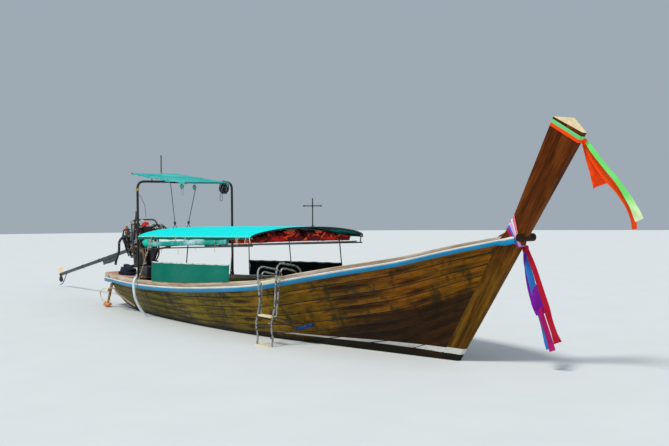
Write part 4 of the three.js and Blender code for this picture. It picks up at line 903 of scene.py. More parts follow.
def strake_set(name, slot, finish_key, side, first, last, settings, replaces, seed):
    """Strakes between two shares of the girth, each a plank with eased edges."""
    count = round(settings.strakes * (last - first))
    rows = spread(first, last, count + 1) if first else [0.0, 0.13, 0.27, 0.4, 0.5]
    shape = Shape()
    levels = random.Random(seed)
    groove = settings.seam / 2
    for low, high in zip(rows, rows[1:]):
        shape.board = levels.random()
        rings = []
        for s in spread(0.0, 1.0, 73):
            girth = (hull_point(s, high) - hull_point(s, low)).length
            ease = groove / girth * (high - low)
            thin = 0.0003 / girth * (high - low)
            section = [(low + thin, -PLANK), (low + thin, -0.007), (low + ease, 0.0),
                (between(low, high, 0.33), 0.0006), (between(low, high, 0.67), 0.0006), (high - ease, 0.0),
                (high - thin, -0.007), (high - thin, -PLANK)]
            ring = [hull_point(s, t, offset) for t, offset in section]
            rings.append([on_side(p, side) for p in ring])
        shape.rings(rings, finish=[1, 1, 0, 0, 0, 1, 1, 0])
    return shape.build(name, "hull", slot, [finish_key, "caulk"], replaces, angle=50)


class BOAT_OT_planking(bpy.types.Operator):
    """Lays the strakes of both sides with their seams"""
    bl_idname = "longtail.planking"
    bl_label = "Planking"

    def execute(self, context):
        settings = context.scene.longtail_hull
        for side, word in ((1, "port"), (-1, "starboard")):
            strake_set(f"strakes_{word}", "hull_planks", "strakes", side, 0.5, 1.0, settings,
                (f"upper_planking_{word}",), 11)
            strake_set(f"bottom_{word}", "hull_bottom", "bottom", side, 0.0, 0.5, settings,
                (f"lower_planking_{word}",), 5)
        return {"FINISHED"}


def rail_line():
    """Frames along the sheer from the stem round the stern and back: place, up, out, board height."""
    port = []
    ahead = vec(4.794, 0.13, 1.434)
    side = vec(0.098, 0.26, 0).normalized()
    for share in (0.62, 0.4, 0.2):
        port.append((ahead + vec(0.26, -0.098, 0.062) * share, vec(-0.1, 0.1, 1).normalized(), side, 0.0))
    for s in spread(1.0, 0.0, 90):
        place, up, out = hull_frame(s, 1.0)
        port.append((place, up, out, board_height(place.x)))
    stern = [(place, vec(0, 0, 1), out, 0.07) for place, out in stern_round(31)]
    starboard = [(flip(p), flip(up), flip(out), h) for p, up, out, h in reversed(port)]
    return port, stern, starboard


def rail_piece(name, slot, finish_key, profile, frames, replaces):
    shape = Shape()
    rings = []
    for place, up, out, height in frames:
        rings.append([place + up * (h if h <= 0 else h * height) + out * offset for h, offset in profile])
    shape.rings(rings)
    return shape.build(name, "hull", slot, finish_key, replaces, angle=45)


class BOAT_OT_rails(bpy.types.Operator):
    """Bends the board, the white line and the blue rub rail round the sheer"""
    bl_idname = "longtail.rails"
    bl_label = "Rails"

    def execute(self, context):
        port, stern, starboard = rail_line()
        blue = [(-0.084, 0.0026), (-0.0815, 0.019), (-0.076, 0.0255), (-0.06, 0.0275), (-0.046, 0.0275),
                (-0.036, 0.0255), (-0.0305, 0.019), (-0.03, 0.0026)]
        white = [(-0.0295, 0.0026), (-0.029, 0.0125), (-0.025, 0.0155), (-0.016, 0.016), (-0.007, 0.0155),
            (-0.0025, 0.0125), (-0.002, 0.0026)]
        whole = port + stern + starboard
        rail_piece("blue_rail", "rub_rail", "blue", blue, whole,
            ("rub_rail_port", "rub_rail_starboard", "stern_rail"))
        rail_piece("white_line", "stern_rail", "white", white, whole, ())
        board = [(0.01, -PLANK), (0.92, -PLANK), (1.0, -PLANK + 0.004), (1.0, -0.004), (0.93, 0.0), (0.01, 0.0)]
        rail_piece("board_port", "gunwale_board", "board", board, port[3:], ("gunwale_board_port",))
        rail_piece("board_starboard", "gunwale_board", "board", board, starboard[:-3], ("gunwale_board_starboard",))
        inner = [(h, 0.0008 if offset < -0.01 else offset + 0.014) for h, offset in board]
        rail_piece("board_stern", "gunwale_board", "board", inner, stern, ())
        return {"FINISHED"}


class BOAT_OT_timbers(bpy.types.Operator):
    """Finishes the stem, keel, transom, ribs, decks, floor and seats"""
    bl_idname = "longtail.timbers"
    bl_label = "Timbers"

    def execute(self, context):
        stem = softened("stem_post", "hull", ["stem", "sunlit_end_grain"], 0.007, "stem", 30)
        # The cut top takes the pale end grain, which carries painted sunlight.
        for face in stem.data.polygons:
            if face.center.z > 2.45 and face.normal.dot(vec(0.55, 0, 0.835)) > 0.8:
                face.material_index = 1
        for node, key in (("keel", "dark_wood"), ("transom", "transom_wood"), ("bow_crosspiece", "dark_wood"),
                ("ribs_and_keelson", "rib_wood")):
            repaint(node, key)
        for number in range(1, 6):
            softened(f"thwart_{number}", "hull", "seat_wood", 0.004, f"seat_{number}")
        sawn("floor_boards", "floor_planks", "floor_wood", 1, 0.12, 0.005, seed=4)
        sawn("foredeck", "foredeck_planks", "deck_wood", 1, 0.13, 0.004, seed=8)
        sawn("stern_deck", "stern_deck_planks", "stern_deck_wood", 1, 0.14, 0.005, seed=6)
        return {"FINISHED"}


def repaint(node, key):
    """Gives a CAD node a finish in place of its plain one."""
    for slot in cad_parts[node].material_slots:
        slot.material = FINISHES[key]


# Canopy


def sheet_skin(name, slot, finishes, point, columns, rows, thickness, replaces=(), body="hull", finish_at=None):
    """A cloth of even thickness: point(u, v) is its middle, for u along and v across from 0 to 1."""
    grid = [[point(u, v) for v in spread(0, 1, rows)] for u in spread(0, 1, columns)]
    normals = []
    for i in range(columns):
        line = []
        for j in range(rows):
            along = grid[min(i + 1, columns - 1)][j] - grid[max(i - 1, 0)][j]
            across = grid[i][min(j + 1, rows - 1)] - grid[i][max(j - 1, 0)]
            line.append(along.cross(across).normalized() * (thickness / 2))
        normals.append(line)
    shape = Shape()
    rings = [[grid[i][j] + normals[i][j] for j in range(rows)]
        + [grid[i][j] - normals[i][j] for j in reversed(range(rows))] for i in range(columns)]
    marks = [finish_at(((j + 0.5) / (rows - 1)) if j < rows - 1 else ((2 * rows - 1.5 - j) / (rows - 1))) if finish_at
        else 0 for j in range(2 * rows)]
    shape.rings(rings, finish=marks)
    return shape.build(name, body, slot, finishes, replaces, angle=60), grid


BOWS = (-2.52, -1.95, -1.38, -0.81, -0.24, 0.36, 0.955)


class BOAT_OT_canopy(bpy.types.Operator):
    """Stretches the canopy over its bows and laces its edges"""
    bl_idname = "longtail.canopy"
    bl_label = "Canopy"

    def execute(self, context):
        settings = context.scene.longtail_fabric

        def canopy(u, v):
            x = between(CANOPY_AFT + 0.001, CANOPY_FORE - 0.001, u)
            near = min(abs(x - bow) for bow in BOWS)
            span = 0.29
            sink = settings.sag * min(1.0, near / span) ** 2
            height = between(0.047, 0.042, canopy_share(x))
            ripple = 0.003 * noise.noise(vec(x * 5, v * 9, 3.1))
            if v < 0.1 or v > 0.9:
                share = (0.1 - v) / 0.1 if v < 0.1 else (v - 0.9) / 0.1
                edge = canopy_point(x, 0, 0.003)
                wave = 0.006 * math.sin(x * 17 + (2 if v < 0.5 else 5)) * share + ripple
                scallop = 0.01 * abs(math.sin(math.pi * (x + 2.52) / 0.58)) * share
                drop = edge + vec(0, 0.012 * share + wave, -(height - scallop) * share)
                return drop if v < 0.5 else flip(drop)
            angle = math.pi * (v - 0.1) / 0.8
            lift = 0.0035 + ripple * math.sin(angle) - sink * math.sin(angle)
            return canopy_point(x, angle, lift)

        sheet, grid = sheet_skin("canopy_tarp", "canopy_sheet", ["tarp", "tarp_edge"], canopy, 127, 61, 0.004,
            ("canopy_sheet",), finish_at=lambda v: int(v < 0.1 or v > 0.9))
        for node in ("canopy_bows", "canopy_side_port", "canopy_side_starboard"):
            repaint(node, "frame_paint")
        repaint("stowage_rack", "pole_wood")
        lacing = Shape()
        for side in (1, -1):
            row = []
            for n, x in enumerate(spread(CANOPY_AFT + 0.01, CANOPY_FORE - 0.01, 230)):
                wobble = 0.0035 * noise.noise(vec(x * 19, side, 4))
                row.append(vec(x, side * (CANOPY_HALF + 0.0105 + 0.002 * (n % 2)),
                    canopy_edge(x) - 0.001 + wobble + 0.0065 * (n % 2)))
            lacing.tube(row, 0.0042, 5)
        for x, reach in ((-1.18, 0.07), (-0.874, 0.06), (0.6, 0.1), (0.66, 0.07), (0.865, 0.09), (0.955, 0.07)):
            foot = vec(x, -CANOPY_HALF - 0.012, canopy_edge(x) - 0.004)
            lean = 0.03 if x in (0.6, 0.955) else -0.02
            lacing.tube(smooth_path([foot, foot + vec(lean * 0.6, -0.01, -reach * 0.5),
                foot + vec(lean, -0.008, -reach)], 8), [0.0065, 0.0065, 0.006, 0.006, 0.006, 0.006, 0.007, 0.004], 7)
        lacing.build("canopy_lacing", "hull", "canopy_sheet", "white_cord", angle=80)
        return {"FINISHED"}


def tied(shape, place, radius, turns=3, finish=0, across=UP):
    """A few turns of cord round a pole at a place."""
    across = Vector(across).normalized()
    side = across.orthogonal().normalized()
    up = across.cross(side)
    points = []
    for n in range(turns * 10 + 1):
        angle = math.tau * n / 10
        points.append(Vector(place) + across * (n / 10 - turns / 2) * 0.0065
            + (side * math.cos(angle) + up * math.sin(angle)) * (radius + 0.003))
    shape.tube(points, 0.0034, 6, finish)


def filleted(points, radius, steps=5):
    """The points of a bent pipe: straight runs with round bends between them."""
    points = [Vector(p) for p in points]
    result = [points[0]]
    for a, b, c in zip(points, points[1:], points[2:]):
        reach = min(radius, (a - b).length * 0.45, (c - b).length * 0.45)
        start, end = b + (a - b).normalized() * reach, b + (c - b).normalized() * reach
        for n in range(steps + 1):
            t = n / steps
            result.append(start * (1 - t) ** 2 + b * 2 * t * (1 - t) + end * t ** 2)
    return result + [points[-1]]


def side_plane(x, z, outwards):
    """A point on the port side's sloping plane of posts."""
    foot, top = board_top(x), vec(x, 0.939, canopy_edge(x) - 0.014)
    return vec(x, between(foot.y, top.y, (z - foot.z) / (top.z - foot.z)) + outwards, z)


class BOAT_OT_curtains(bpy.types.Operator):
    """Hangs the two side curtains with their hems and ties"""
    bl_idname = "longtail.curtains"
    bl_label = "Curtains"

    def execute(self, context):
        posts = {"port": (-2.19, -0.955), "starboard": (-2.06, -0.84)}
        for word, side, aft, fore, aft_top, fore_top, key, slot in (
            # The port curtain's colour carries painted shade from the canopy over it.
            ("port", 1, -2.2, 0.405, 0.905, 0.96, "shaded_port_curtain", "side_curtain_dark"),
            ("starboard", -1, -2.015, 0.455, 0.962, 1.015, "green_curtain", "side_curtain"),
        ):
            def curtain(u, v):
                x = between(aft, fore, u)
                low = board_top(x).z + 0.003
                droop = 0.006 * abs(math.sin(math.pi * u * 7)) ** 1.5
                top = between(aft_top, fore_top, u) - droop
                z = between(low, top, v)
                fold = 0.0035 * math.sin(u * 43 + 3 * v) * math.sin(math.pi * v) + 0.004 * noise.noise(
                    vec(u * 9, v * 4, side))
                slump = 0.008 * math.sin(math.pi * v) * math.sin(math.pi * u * 3) ** 2
                p = side_plane(x, z, 0.0165 + fold + slump)
                return on_side(p, side)
            cut, grid = sheet_skin(f"curtain_{word}", slot, [key, "hem"], curtain, 110, 17, 0.003,
                (f"side_curtain_{word}",), finish_at=lambda v: int(v > 0.945))
            ties = Shape()
            for n in range(15):
                x = between(aft + 0.02, fore - 0.02, n / 14)
                p = side_plane(x, between(aft_top, fore_top, (x - aft) / (fore - aft)) - 0.012, 0.0195)
                p = on_side(p, side)
                ties.lathe(p, (0, side, 0), [(0, 8.5), (1.5, 9.5), (2.2, 7), (1, 5)], 12)
            for x in posts[word]:
                top = between(aft_top, fore_top, (x - aft) / (fore - aft))
                if x > aft:
                    for z in (top - 0.03, top - 0.14):
                        p = side_plane(x, z, 0.003)
                        tied(ties, on_side(p, side), 0.0115, 3)
            tie_piece = ties.build(f"curtain_ties_{word}", "hull", slot, "cream_rope")
        return {"FINISHED"}


class BOAT_OT_rolled_cloth(bpy.types.Operator):
    """Rolls a spare curtain along the starboard rail and ties it up"""
    bl_idname = "longtail.rolled_cloth"
    bl_label = "Rolled Cloth"

    def execute(self, context):
        roll = Shape()
        rings = []
        for n, x in enumerate(spread(-2.22, 0.34, 150)):
            near_tie = abs(math.sin(math.pi * (x + 2.22) / 0.56))
            radius = 0.027 + 0.007 * near_tie ** 0.5 + 0.006 * noise.noise(vec(x * 5, 0, 1))
            centre = vec(x, -0.957 + 0.004 * noise.noise(vec(x * 3, 5, 0)),
                side_rail_z(x) + 0.066 + 0.006 * noise.noise(vec(x * 4, 9, 0)))
            ring = []
            for j in range(18):
                angle = math.tau * j / 18
                crease = 0.0035 * noise.noise(vec(x * 14, 3 * math.cos(angle), 3 * math.sin(angle)))
                ring.append(centre + vec(0, math.cos(angle) * (radius * 0.8 + crease),
                    math.sin(angle) * (radius * 1.15 + crease)))
            rings.append(ring)
        roll.rings(rings)
        piece = roll.build("rolled_cloth", "hull", "canopy_sheet", "rolled", angle=80)
        ties = Shape()
        for n in range(5):
            x = -2.22 + 0.56 * n
            tied(ties, (x, -0.957, side_rail_z(x) + 0.062), 0.027, 2, across=FORE)
            tail = [(x, -0.975, side_rail_z(x) + 0.02), (x + 0.006, -0.983, side_rail_z(x) - 0.02),
                    (x + 0.012, -0.981, side_rail_z(x) - 0.06 - 0.02 * (n % 3))]
            ties.tube(smooth_path(tail, 8), 0.003, 6)
        for x in BOWS:
            p = canopy_point(x, 0, -0.02)
            for side in (1, -1):
                tied(ties, (x, side * 0.941, p.z + 0.004), 0.013, 2, across=(0, 0.3, 1))
        ties.build("canopy_ties", "hull", "canopy_sheet", "cream_rope")
        knot = Shape()
        rings = []
        for n in range(16):
            t = n / 15
            radius = 0.008 + 0.062 * math.sin(math.pi * min(1, t * 1.02)) ** 0.7
            centre = vec(-2.235 + 0.02 * t, -0.97, 1.3 - 0.115 * t)
            rings.append([centre + vec(math.cos(a) * radius * (1.42 + 0.16 * math.sin(5 * a + 7 * t)),
                math.sin(a) * radius * 0.5, 0) for a in circle(24)])
        knot.rings(rings)
        bundle = knot.build("knotted_cloth", "hull", "canopy_sheet", "emerald", angle=80)
        return {"FINISHED"}


def puffed(shape, centre, size, bulge, seed, finish=0, around=28, rows=13, turn=Matrix.Identity(3)):
    """A soft block whose faces bulge between its edges, turned about its middle if asked."""
    rings = []
    for i in range(rows):
        t = between(-1, 1, i / (rows - 1))
        end = (1 - abs(t) ** 5) ** 0.35
        ring = []
        for j in range(around):
            angle = math.tau * j / around
            c, s = math.cos(angle), math.sin(angle)
            grow = (abs(c) ** 5 + abs(s) ** 5) ** -0.2
            wave = 1 + 0.05 * noise.noise(vec(3 * c + seed, 3 * s, 2 * t)) + 0.05 * noise.noise(
                vec(5 * c, 4 * s, 5 * t + seed))
            puff = 1 + bulge * (1 - abs(t) ** 2) * abs(math.sin(2 * angle)) * 0.12
            ring.append(Vector(centre) + turn @ vec(t * size[0] / 2, c * grow * end * wave * puff * size[1] / 2,
                s * grow * end * wave * puff * size[2] / 2))
        rings.append(ring)
    shape.rings(rings, finish=finish)


class BOAT_OT_life_jackets(bpy.types.Operator):
    """Stows folded life jackets on the rack under the canopy"""
    bl_idname = "longtail.life_jackets"
    bl_label = "Life Jackets"

    def execute(self, context):
        for word, side in (("port", 1), ("starboard", -1)):
            pads, straps = Shape(), Shape()
            chance = random.Random(21 + side)
            for row, (y_low, y_high, height, reach, steep) in enumerate((
                (0.035, 0.3, 0.188, 0.225, 42), (0.305, 0.57, 0.162, 0.19, 40), (0.575, 0.835, 0.104, 0.122, 31),
            )):
                for n in range(12):
                    x = between(-0.35, 0.795, n / 11) + chance.uniform(-0.006, 0.006)
                    lean = math.radians(steep + chance.uniform(-4, 3)) * (-1 if n < 7 else 1)
                    turn = Matrix.Rotation(lean, 3, "Y") @ Matrix.Rotation(chance.uniform(-0.08, 0.08), 3, "Z")
                    thick = (height - reach * abs(math.sin(lean))) / math.cos(lean) * 0.97
                    middle = vec(x, side * (y_low + y_high) / 2, side_rail_z(x) + 0.031 + height / 2)
                    width = y_high - y_low - chance.uniform(0.012, 0.034)
                    tint = 0 if (n + row) % 3 != 1 and 4 < n < 11 else 1 + (n + row) % 2
                    puffed(pads, middle, (reach, width, thick), 1.0, n + 12 * row, tint, 24, 11, turn)
                    half, top = width / 2 + 0.0015, thick / 2 + 0.0015
                    loop = [vec(-0.16 * reach, h, v) for h,
                        v in ((-half, -top), (half, -top), (half, top), (-half, top), (-half, -top))]
                    straps.rings([[middle + turn @ (p + vec(w, 0, 0) + p.normalized() * push) for w,
                        push in ((-0.011, 0), (0.011, 0), (0.011, 0.002), (-0.011, 0.002))]
                        for p in filleted(loop, 0.022, 3)])
            for n in range(30):
                y = chance.uniform(0.055, 0.79)
                height = 0.188 if y < 0.3 else 0.162 if y < 0.57 else 0.104
                long, tall = chance.uniform(0.1, 0.17), chance.uniform(0.022, 0.04)
                lean = chance.uniform(-1, 1) * min(0.8, math.asin(min(1, (height - 0.02 - tall) / long)))
                reach = (long * abs(math.sin(lean)) + tall) / 2
                place = vec(chance.uniform(0.82, 0.842), side * min(y, 0.84 - long / 2),
                    side_rail_z(0.83) + 0.031 + chance.uniform(reach, height - reach))
                tint = (0, 2, 0, 1)[n % 4] if -0.4 < side * y < 0.6 else (2, 1, 2)[n % 3]
                turn = Matrix.Rotation(lean, 3, "X")
                puffed(pads, place, (0.036, long, tall), 1.0, n + 50, tint, 16, 9, turn)
                if n % 2:
                    across = chance.uniform(-0.03, 0.03)
                    straps.tube([place + turn @ vec(0.0175, across, -0.022), place + turn @ vec(0.0195, across, 0),
                        place + turn @ vec(0.0175, across, 0.022)], 0.0045, 6)
            piece = pads.build(f"jackets_{word}", "hull", "life_jackets",
                ["jacket_orange", "jacket_red", "jacket_dark"], (f"life_jackets_{word}",), angle=70)
            straps.build(f"jacket_straps_{word}", "hull", "life_jackets", "black_webbing")
        return {"FINISHED"}


ROOF_AFT, ROOF_FORE, ROOF_LOW_Y, ROOF_HIGH_Y = -3.9, -1.98, -0.4, 0.45


def roof_z(x):
    return between(2.4125, 2.2025, (x - ROOF_AFT) / (ROOF_FORE - ROOF_AFT))


class BOAT_OT_roof(bpy.types.Operator):
    """Stretches the small roof on its sticks over the stern arch, and rigs its two stays"""
    bl_idname = "longtail.roof"
    bl_label = "Roof"

    def execute(self, context):
        def tarp(u, v):
            x, y = between(ROOF_AFT, ROOF_FORE, u), between(ROOF_LOW_Y - 0.03, ROOF_HIGH_Y + 0.03, v)
            y = min(max(y, ROOF_LOW_Y - 0.001), ROOF_HIGH_Y + 0.001)
            hang = max(0.0, (0.035 - v) / 0.035, (v - 0.965) / 0.035)
            near = min(abs(x - stick) for stick in (-3.7, -3.05, -2.1))
            sag = 0.02 * min(1, near / 0.3) ** 1.5 * math.sin(math.pi * v)
            ripple = 0.004 * noise.noise(vec(x * 4, y * 6, 2))
            z = roof_z(x) + 0.0165 + 0.006 * math.sin(math.pi * v) - sag + ripple
            drop = hang * (0.03 + 0.012 * math.sin(x * 9))
            return vec(x + 0.01 * math.sin(y * 11) * (u in (0, 1)), y + math.copysign(0.004 * hang, y), z - drop)

        sheet, grid = sheet_skin("roof_tarp", "roof_sheet", ["roof_tarp"], tarp, 81, 45, 0.003, ("roof_sheet",))
        repaint("roof_frame", "pole_wood")
        arch = Shape()
        foot = board_top(ARCH_X)
        y = foot.y - 0.012
        corner = [(ARCH_X, y, foot.z + 0.003), (ARCH_X, y, ARCH_TOP - 0.09), (ARCH_X, y - 0.027, 2.218),
            (ARCH_X, y - 0.09, ARCH_TOP)]
        path = filleted([vec(*p) for p in corner] + [flip(vec(*p)) for p in reversed(corner)], 0.05, 6)
        arch.tube(path, 0.02, 20)
        for side in (1, -1):
            arch.lathe((ARCH_X, side * y, foot.z + 0.004), UP, [(0, 30), (6, 31), (10, 26), (45, 25), (50, 21)], 20)
        arch.build("arch", "hull", "stern_arch", "black_paint", ("stern_arch",))
        brass = Shape()
        brass.lathe((ARCH_X, -y, 2.085), UP, [(0, 20.5), (2, 26), (12, 26.5), (14, 24), (36, 24), (38, 26.5),
            (48, 26), (50, 20.5)], 24)
        brass.build("arch_coupling", "hull", "stern_arch", "brass")
        rig = Shape()
        for top, low in (((-2.665, -0.295, 2.224), (-2.503, -0.303)), ((-2.668, 0.176, 2.12), (-2.503, -0.052))):
            start = Vector(top)
            surface = canopy_point(low[0], math.acos(abs(low[1]) / CANOPY_HALF)).z + 0.005
            end = vec(low[0], low[1], surface + 0.06)
            rig.tube([start.lerp(end, n / 6) for n in range(7)], 0.0062, 8)
            rig.lathe(end + (start - end).normalized() * 0.045, end - start,
                [(0, 6), (6, 18), (30, 22), (50, 16), (56, 5)], 12, 1)
            for dy in (-0.03, 0.03):
                rig.tube([end, vec(low[0], low[1] + dy, surface - 0.002)], 0.005, 8)
                rig.lathe((low[0], low[1] + dy, surface - 0.004), UP, [(0, 16), (4, 16), (8, 7)], 12, 1)
        rig.tube([(ARCH_X, -0.862, 2.03), (-3.3, -0.47, 1.865), (-4.1, -0.06, 1.645)], 0.004, 6)
        rig.tube([(-3.2, -0.376, roof_z(-3.2) + 0.03), (-3.196, -0.378, roof_z(-3.2) - 0.08)], 0.009, 8)
        for n in range(7):
            middle = vec(-2.675 + 0.012 * math.sin(2.1 * n), 0.69 + 0.017 * n, 2.15 - 0.012 * (n % 3))
            loop = [middle + vec(0.006 * math.sin(3 * a), 0.04 * math.cos(a), 0.078 * math.sin(a))
                    for a in (math.tau * k / 16 for k in range(17))]
            rig.tube(loop, 0.0095, 7, 2)
        rig.tube(smooth_path([(-2.675, 0.7, 2.12), (-2.678, 0.672, 2.04), (-2.68, 0.664, 1.95), (-2.68, 0.69, 1.925),
            (-2.68, 0.712, 1.96), (-2.678, 0.7, 2.05), (-2.675, 0.712, 2.11)], 24), 0.0045, 6)
        tied(rig, (ARCH_X, 0.73, ARCH_TOP), 0.024, 5, 2, across=PORT)
        rig.build("stays", "hull", "stern_arch", ["dark_cord", "iron_dark", "black_webbing"])
        blocks = Shape()
        for y_block, hang in ((-0.078, 2.168), (0.161, 2.152)):
            tied(blocks, (ARCH_X, y_block, ARCH_TOP), 0.0215, 3, 0, across=PORT)
            blocks.tube([(ARCH_X, y_block, 2.222), (ARCH_X, y_block, hang + 0.02)], 0.006, 8)
            blocks.lathe((-2.69, y_block, hang), FORE, [(0, 24), (4, 32), (12, 33), (14, 26), (26, 26), (28, 33),
                (36, 32), (40, 24)], 20, 1)
            for dx in (-0.024, 0.02):
                soft_box(blocks, (ARCH_X + dx, y_block - 0.014, hang - 0.045),
                    (-2.666 + dx, y_block + 0.014, hang + 0.045), 0.001, 1, 2, 0.001)
        blocks.tube(smooth_path([(ARCH_X, -0.078, 2.14), (-2.672, -0.095, 2.08), (-2.672, -0.07, 2.02),
            (-2.672, -0.045, 2.05), (ARCH_X, -0.062, 2.13)], 18), 0.0035, 6)
        blocks.build("pulley_blocks", "hull", "stern_arch", ["white_cord", "pale_block"])
        binding = Shape()
        for n in range(4):
            tied(binding, (ARCH_X, -0.262 + 0.044 * n, ARCH_TOP), 0.0205 + 0.002 * (n % 2), 4, across=PORT)
        binding.build("arch_binding", "hull", "stern_arch", "red_cord")
        lashings = Shape()
        for y_pole in (-0.36, 0.41):
            tied(lashings, (ARCH_X, y_pole, 2.262), 0.034, 4, across=FORE)
            for x in (-3.7, -3.05, -2.1):
                tied(lashings, (x + 0.012, y_pole, roof_z(x)), 0.016, 3, across=PORT)
        tied(lashings, (-3.7, 0.05, roof_z(-3.7) + 0.03), 0.017, 5)
        lashings.build("roof_lashings", "hull", "roof_frame", "cream_rope")
        return {"FINISHED"}


class BOAT_OT_mast(bpy.types.Operator):
    """Stands the light mast on the canopy"""
    bl_idname = "longtail.mast"
    bl_label = "Mast"

    def execute(self, context):
        x, y = 0.955, 0.075
        z = canopy_crown(x) + 0.0055
        mast = Shape()
        mast.lathe((x, y, z), UP, [(0, 26), (4, 26), (6, 12), (20, 10.5), (30, 8.5), (385, 8), (396, 7.5), (400, 3)],
            16)
        mast.tube([(x, y - 0.15, z + 0.29), (x, y + 0.15, z + 0.29)], 0.0072, 14)
        for end in (-0.148, 0.148):
            mast.lathe((x, y + end, z + 0.278), UP, [(0, 6), (4, 10), (20, 10), (24, 6)], 14)
        mast.lathe((x, y, z + 0.278), UP, [(0, 9), (3, 12), (21, 12), (24, 9)], 16)
        mast.build("mast", "hull", "canopy_mast", "iron_dark", ("canopy_mast",))
        return {"FINISHED"}


class BOAT_OT_ladder(bpy.types.Operator):
    """Hooks the boarding ladder over the starboard gunwale"""
    bl_idname = "longtail.ladder"
    bl_label = "Ladder"

    def execute(self, context):
        hoops = (((-0.245, -0.06), (-0.255, 0.055), (-0.19, 0.115), (0.068, 0.17), (0.12, 0.105)),
            ((-0.18, -0.06), (-0.185, 0.02), (-0.15, 0.055), (0.03, 0.1), (0.066, 0.05)))
        tubes = Shape()
        for x, low_x in ((1.32, 1.35), (1.73, 1.665)):
            board = board_top(x)
            outer = board.y + 0.057
            for number, hoop in enumerate(hoops):
                bulge = ((0.052, 0.56), (0.082, 0.4), (0.112, 0.3), (0.106, 0.21), (0.084, 0.1), (0.108, -0.01))
                low = ([(low_x, -outer - out, z) for out, z in bulge] if number == 0
                    else [(low_x, -outer - 0.032, 0.39)])
                path = [(x, -board.y - out, board.z + height) for out, height in hoop] + low
                tubes.tube(filleted(path, 0.055, 6), 0.0128, 16)
                end = Vector(path[0])
                tubes.lathe(end + vec(0, 0, 0.004), (0, 0, -1), [(0, 14.5), (4, 15.5), (22, 15.5), (26, 10)], 16, 1)
        outer = board_top(1.32).y + 0.057
        for x in (1.35, 1.665):
            for z, out in ((0.3, 0.112), (0.105, 0.085)):
                tubes.lathe((x, -outer - out, z), (0, 0.08, 1), [(0, 12.8), (3, 16.5), (17, 16.5), (20, 12.8)], 16)

        def pad_point(x):
            height = between(0.188, 0.264, (x - 1.53) / 0.33)
            return vec(x, -hull_side(x, height).y - 0.021, height)
        for start, end in (((1.356, -outer - 0.088, 0.372), 1.59), ((1.66, -outer - 0.058, 0.39), 1.825)):
            tubes.tube([start, pad_point(end)], 0.0092, 12, 2)
        tubes.tube([(1.345, -outer - 0.108, 0.255), (1.67, -outer - 0.108, 0.255)], 0.0095, 12, 2)
        tubes.build("ladder_tubes", "hull", "ladder", ["ladder_paint", "black_rubber", "iron_dark"], ("ladder",))
        treads = Shape()
        treads.rings([[vec(x, -board_top(x).y - reach, board_top(x).z - fall) for reach, fall in (
            (0.048, 0.052), (0.088, 0.052), (0.088, 0.026), (0.048, 0.026))] for x in (1.322, 1.728)])
        for z, out in ((0.4, 0.06), (0.014, 0.098)):
            for slat in range(2):
                y = -outer - out + (0.05 if slat == 0 else 0.006)
                treads.block((1.34, y - 0.04, z - 0.024), (1.675, y, z))
        treads.build("ladder_treads", "hull", "ladder", "pale_tread", bevel=0.004)
        crossbar = Shape()
        rings_path = [pad_point(x) for x in spread(1.53, 1.86, 30)]
        radii = [0.0235 + 0.0022 * abs(math.sin(math.pi * n / 4.2)) for n in range(30)]
        radii[0] = radii[-1] = 0.015
        crossbar.tube(rings_path, radii, 20)
        pad = crossbar.build("ladder_pad", "hull", "ladder", "blue_pad", angle=80)
        studs("ladder_bolts", "hull", [(vec(x, -outer - out + dy, z), vec(0, 0, 1)) for z, out in (
            (0.4, 0.06), (0.014, 0.098)) for x in (1.352, 1.663) for dy in (0.03, -0.014)], 0.0065, 0.003,
            "dull_metal")
        return {"FINISHED"}


def set_out(name, body, places, key, sizes, part, ways=()):
    """Copies of one small part at places, set out by Geometry Nodes and joined. The sizes are the tree's inputs, and
    part adds the part's own nodes and returns its mesh socket."""
    mesh = bpy.data.meshes.new(name)
    mesh.from_pydata(places, [], [])
    piece = bpy.data.objects.new(name, mesh)
    bpy.context.scene.collection.objects.link(piece)
    tree = bpy.data.node_groups.new(name, "GeometryNodeTree")
    tree.interface.new_socket("Geometry", in_out="INPUT", socket_type="NodeSocketGeometry")
    values = {}
    for label, value in sizes.items():
        kind = "NodeSocketVector" if isinstance(value, tuple) else "NodeSocketFloat"
        values[tree.interface.new_socket(label, in_out="INPUT", socket_type=kind).identifier] = value
    tree.interface.new_socket("Geometry", in_out="OUTPUT", socket_type="NodeSocketGeometry")
    nodes, links = tree.nodes, tree.links
    start, end = nodes.new("NodeGroupInput"), nodes.new("NodeGroupOutput")
    copies = nodes.new("GeometryNodeInstanceOnPoints")
    links.new(start.outputs["Geometry"], copies.inputs["Points"])
    links.new(part(nodes, links, start), copies.inputs["Instance"])
    if ways:
        layer = mesh.attributes.new("direction", "FLOAT_VECTOR", "POINT")
        layer.data.foreach_set("vector", [value for way in ways for value in way.normalized()])
        way = nodes.new("GeometryNodeInputNamedAttribute")
        way.data_type = "FLOAT_VECTOR"
        way.inputs["Name"].default_value = "direction"
        turn = nodes.new("FunctionNodeAlignRotationToVector")
        turn.axis = "Z"
        links.new(way.outputs["Attribute"], turn.inputs["Vector"])
        links.new(turn.outputs["Rotation"], copies.inputs["Rotation"])
    real, paint_it = nodes.new("GeometryNodeRealizeInstances"), nodes.new("GeometryNodeSetMaterial")
    paint_it.inputs["Material"].default_value = FINISHES[key]
    links.new(copies.outputs["Instances"], real.inputs[0])
    links.new(real.outputs[0], paint_it.inputs["Geometry"])
    links.new(paint_it.outputs[0], end.inputs[0])
    modifier = piece.modifiers.new("Copies", "NODES")
    modifier.node_group = tree
    for identifier, value in values.items():
        modifier[identifier] = value
    made = bpy.data.meshes.new_from_object(piece.evaluated_get(bpy.context.evaluated_depsgraph_get()))
    piece.modifiers.remove(modifier)
    piece.data = made
    bpy.data.meshes.remove(mesh)
    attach(piece, body)
    return made


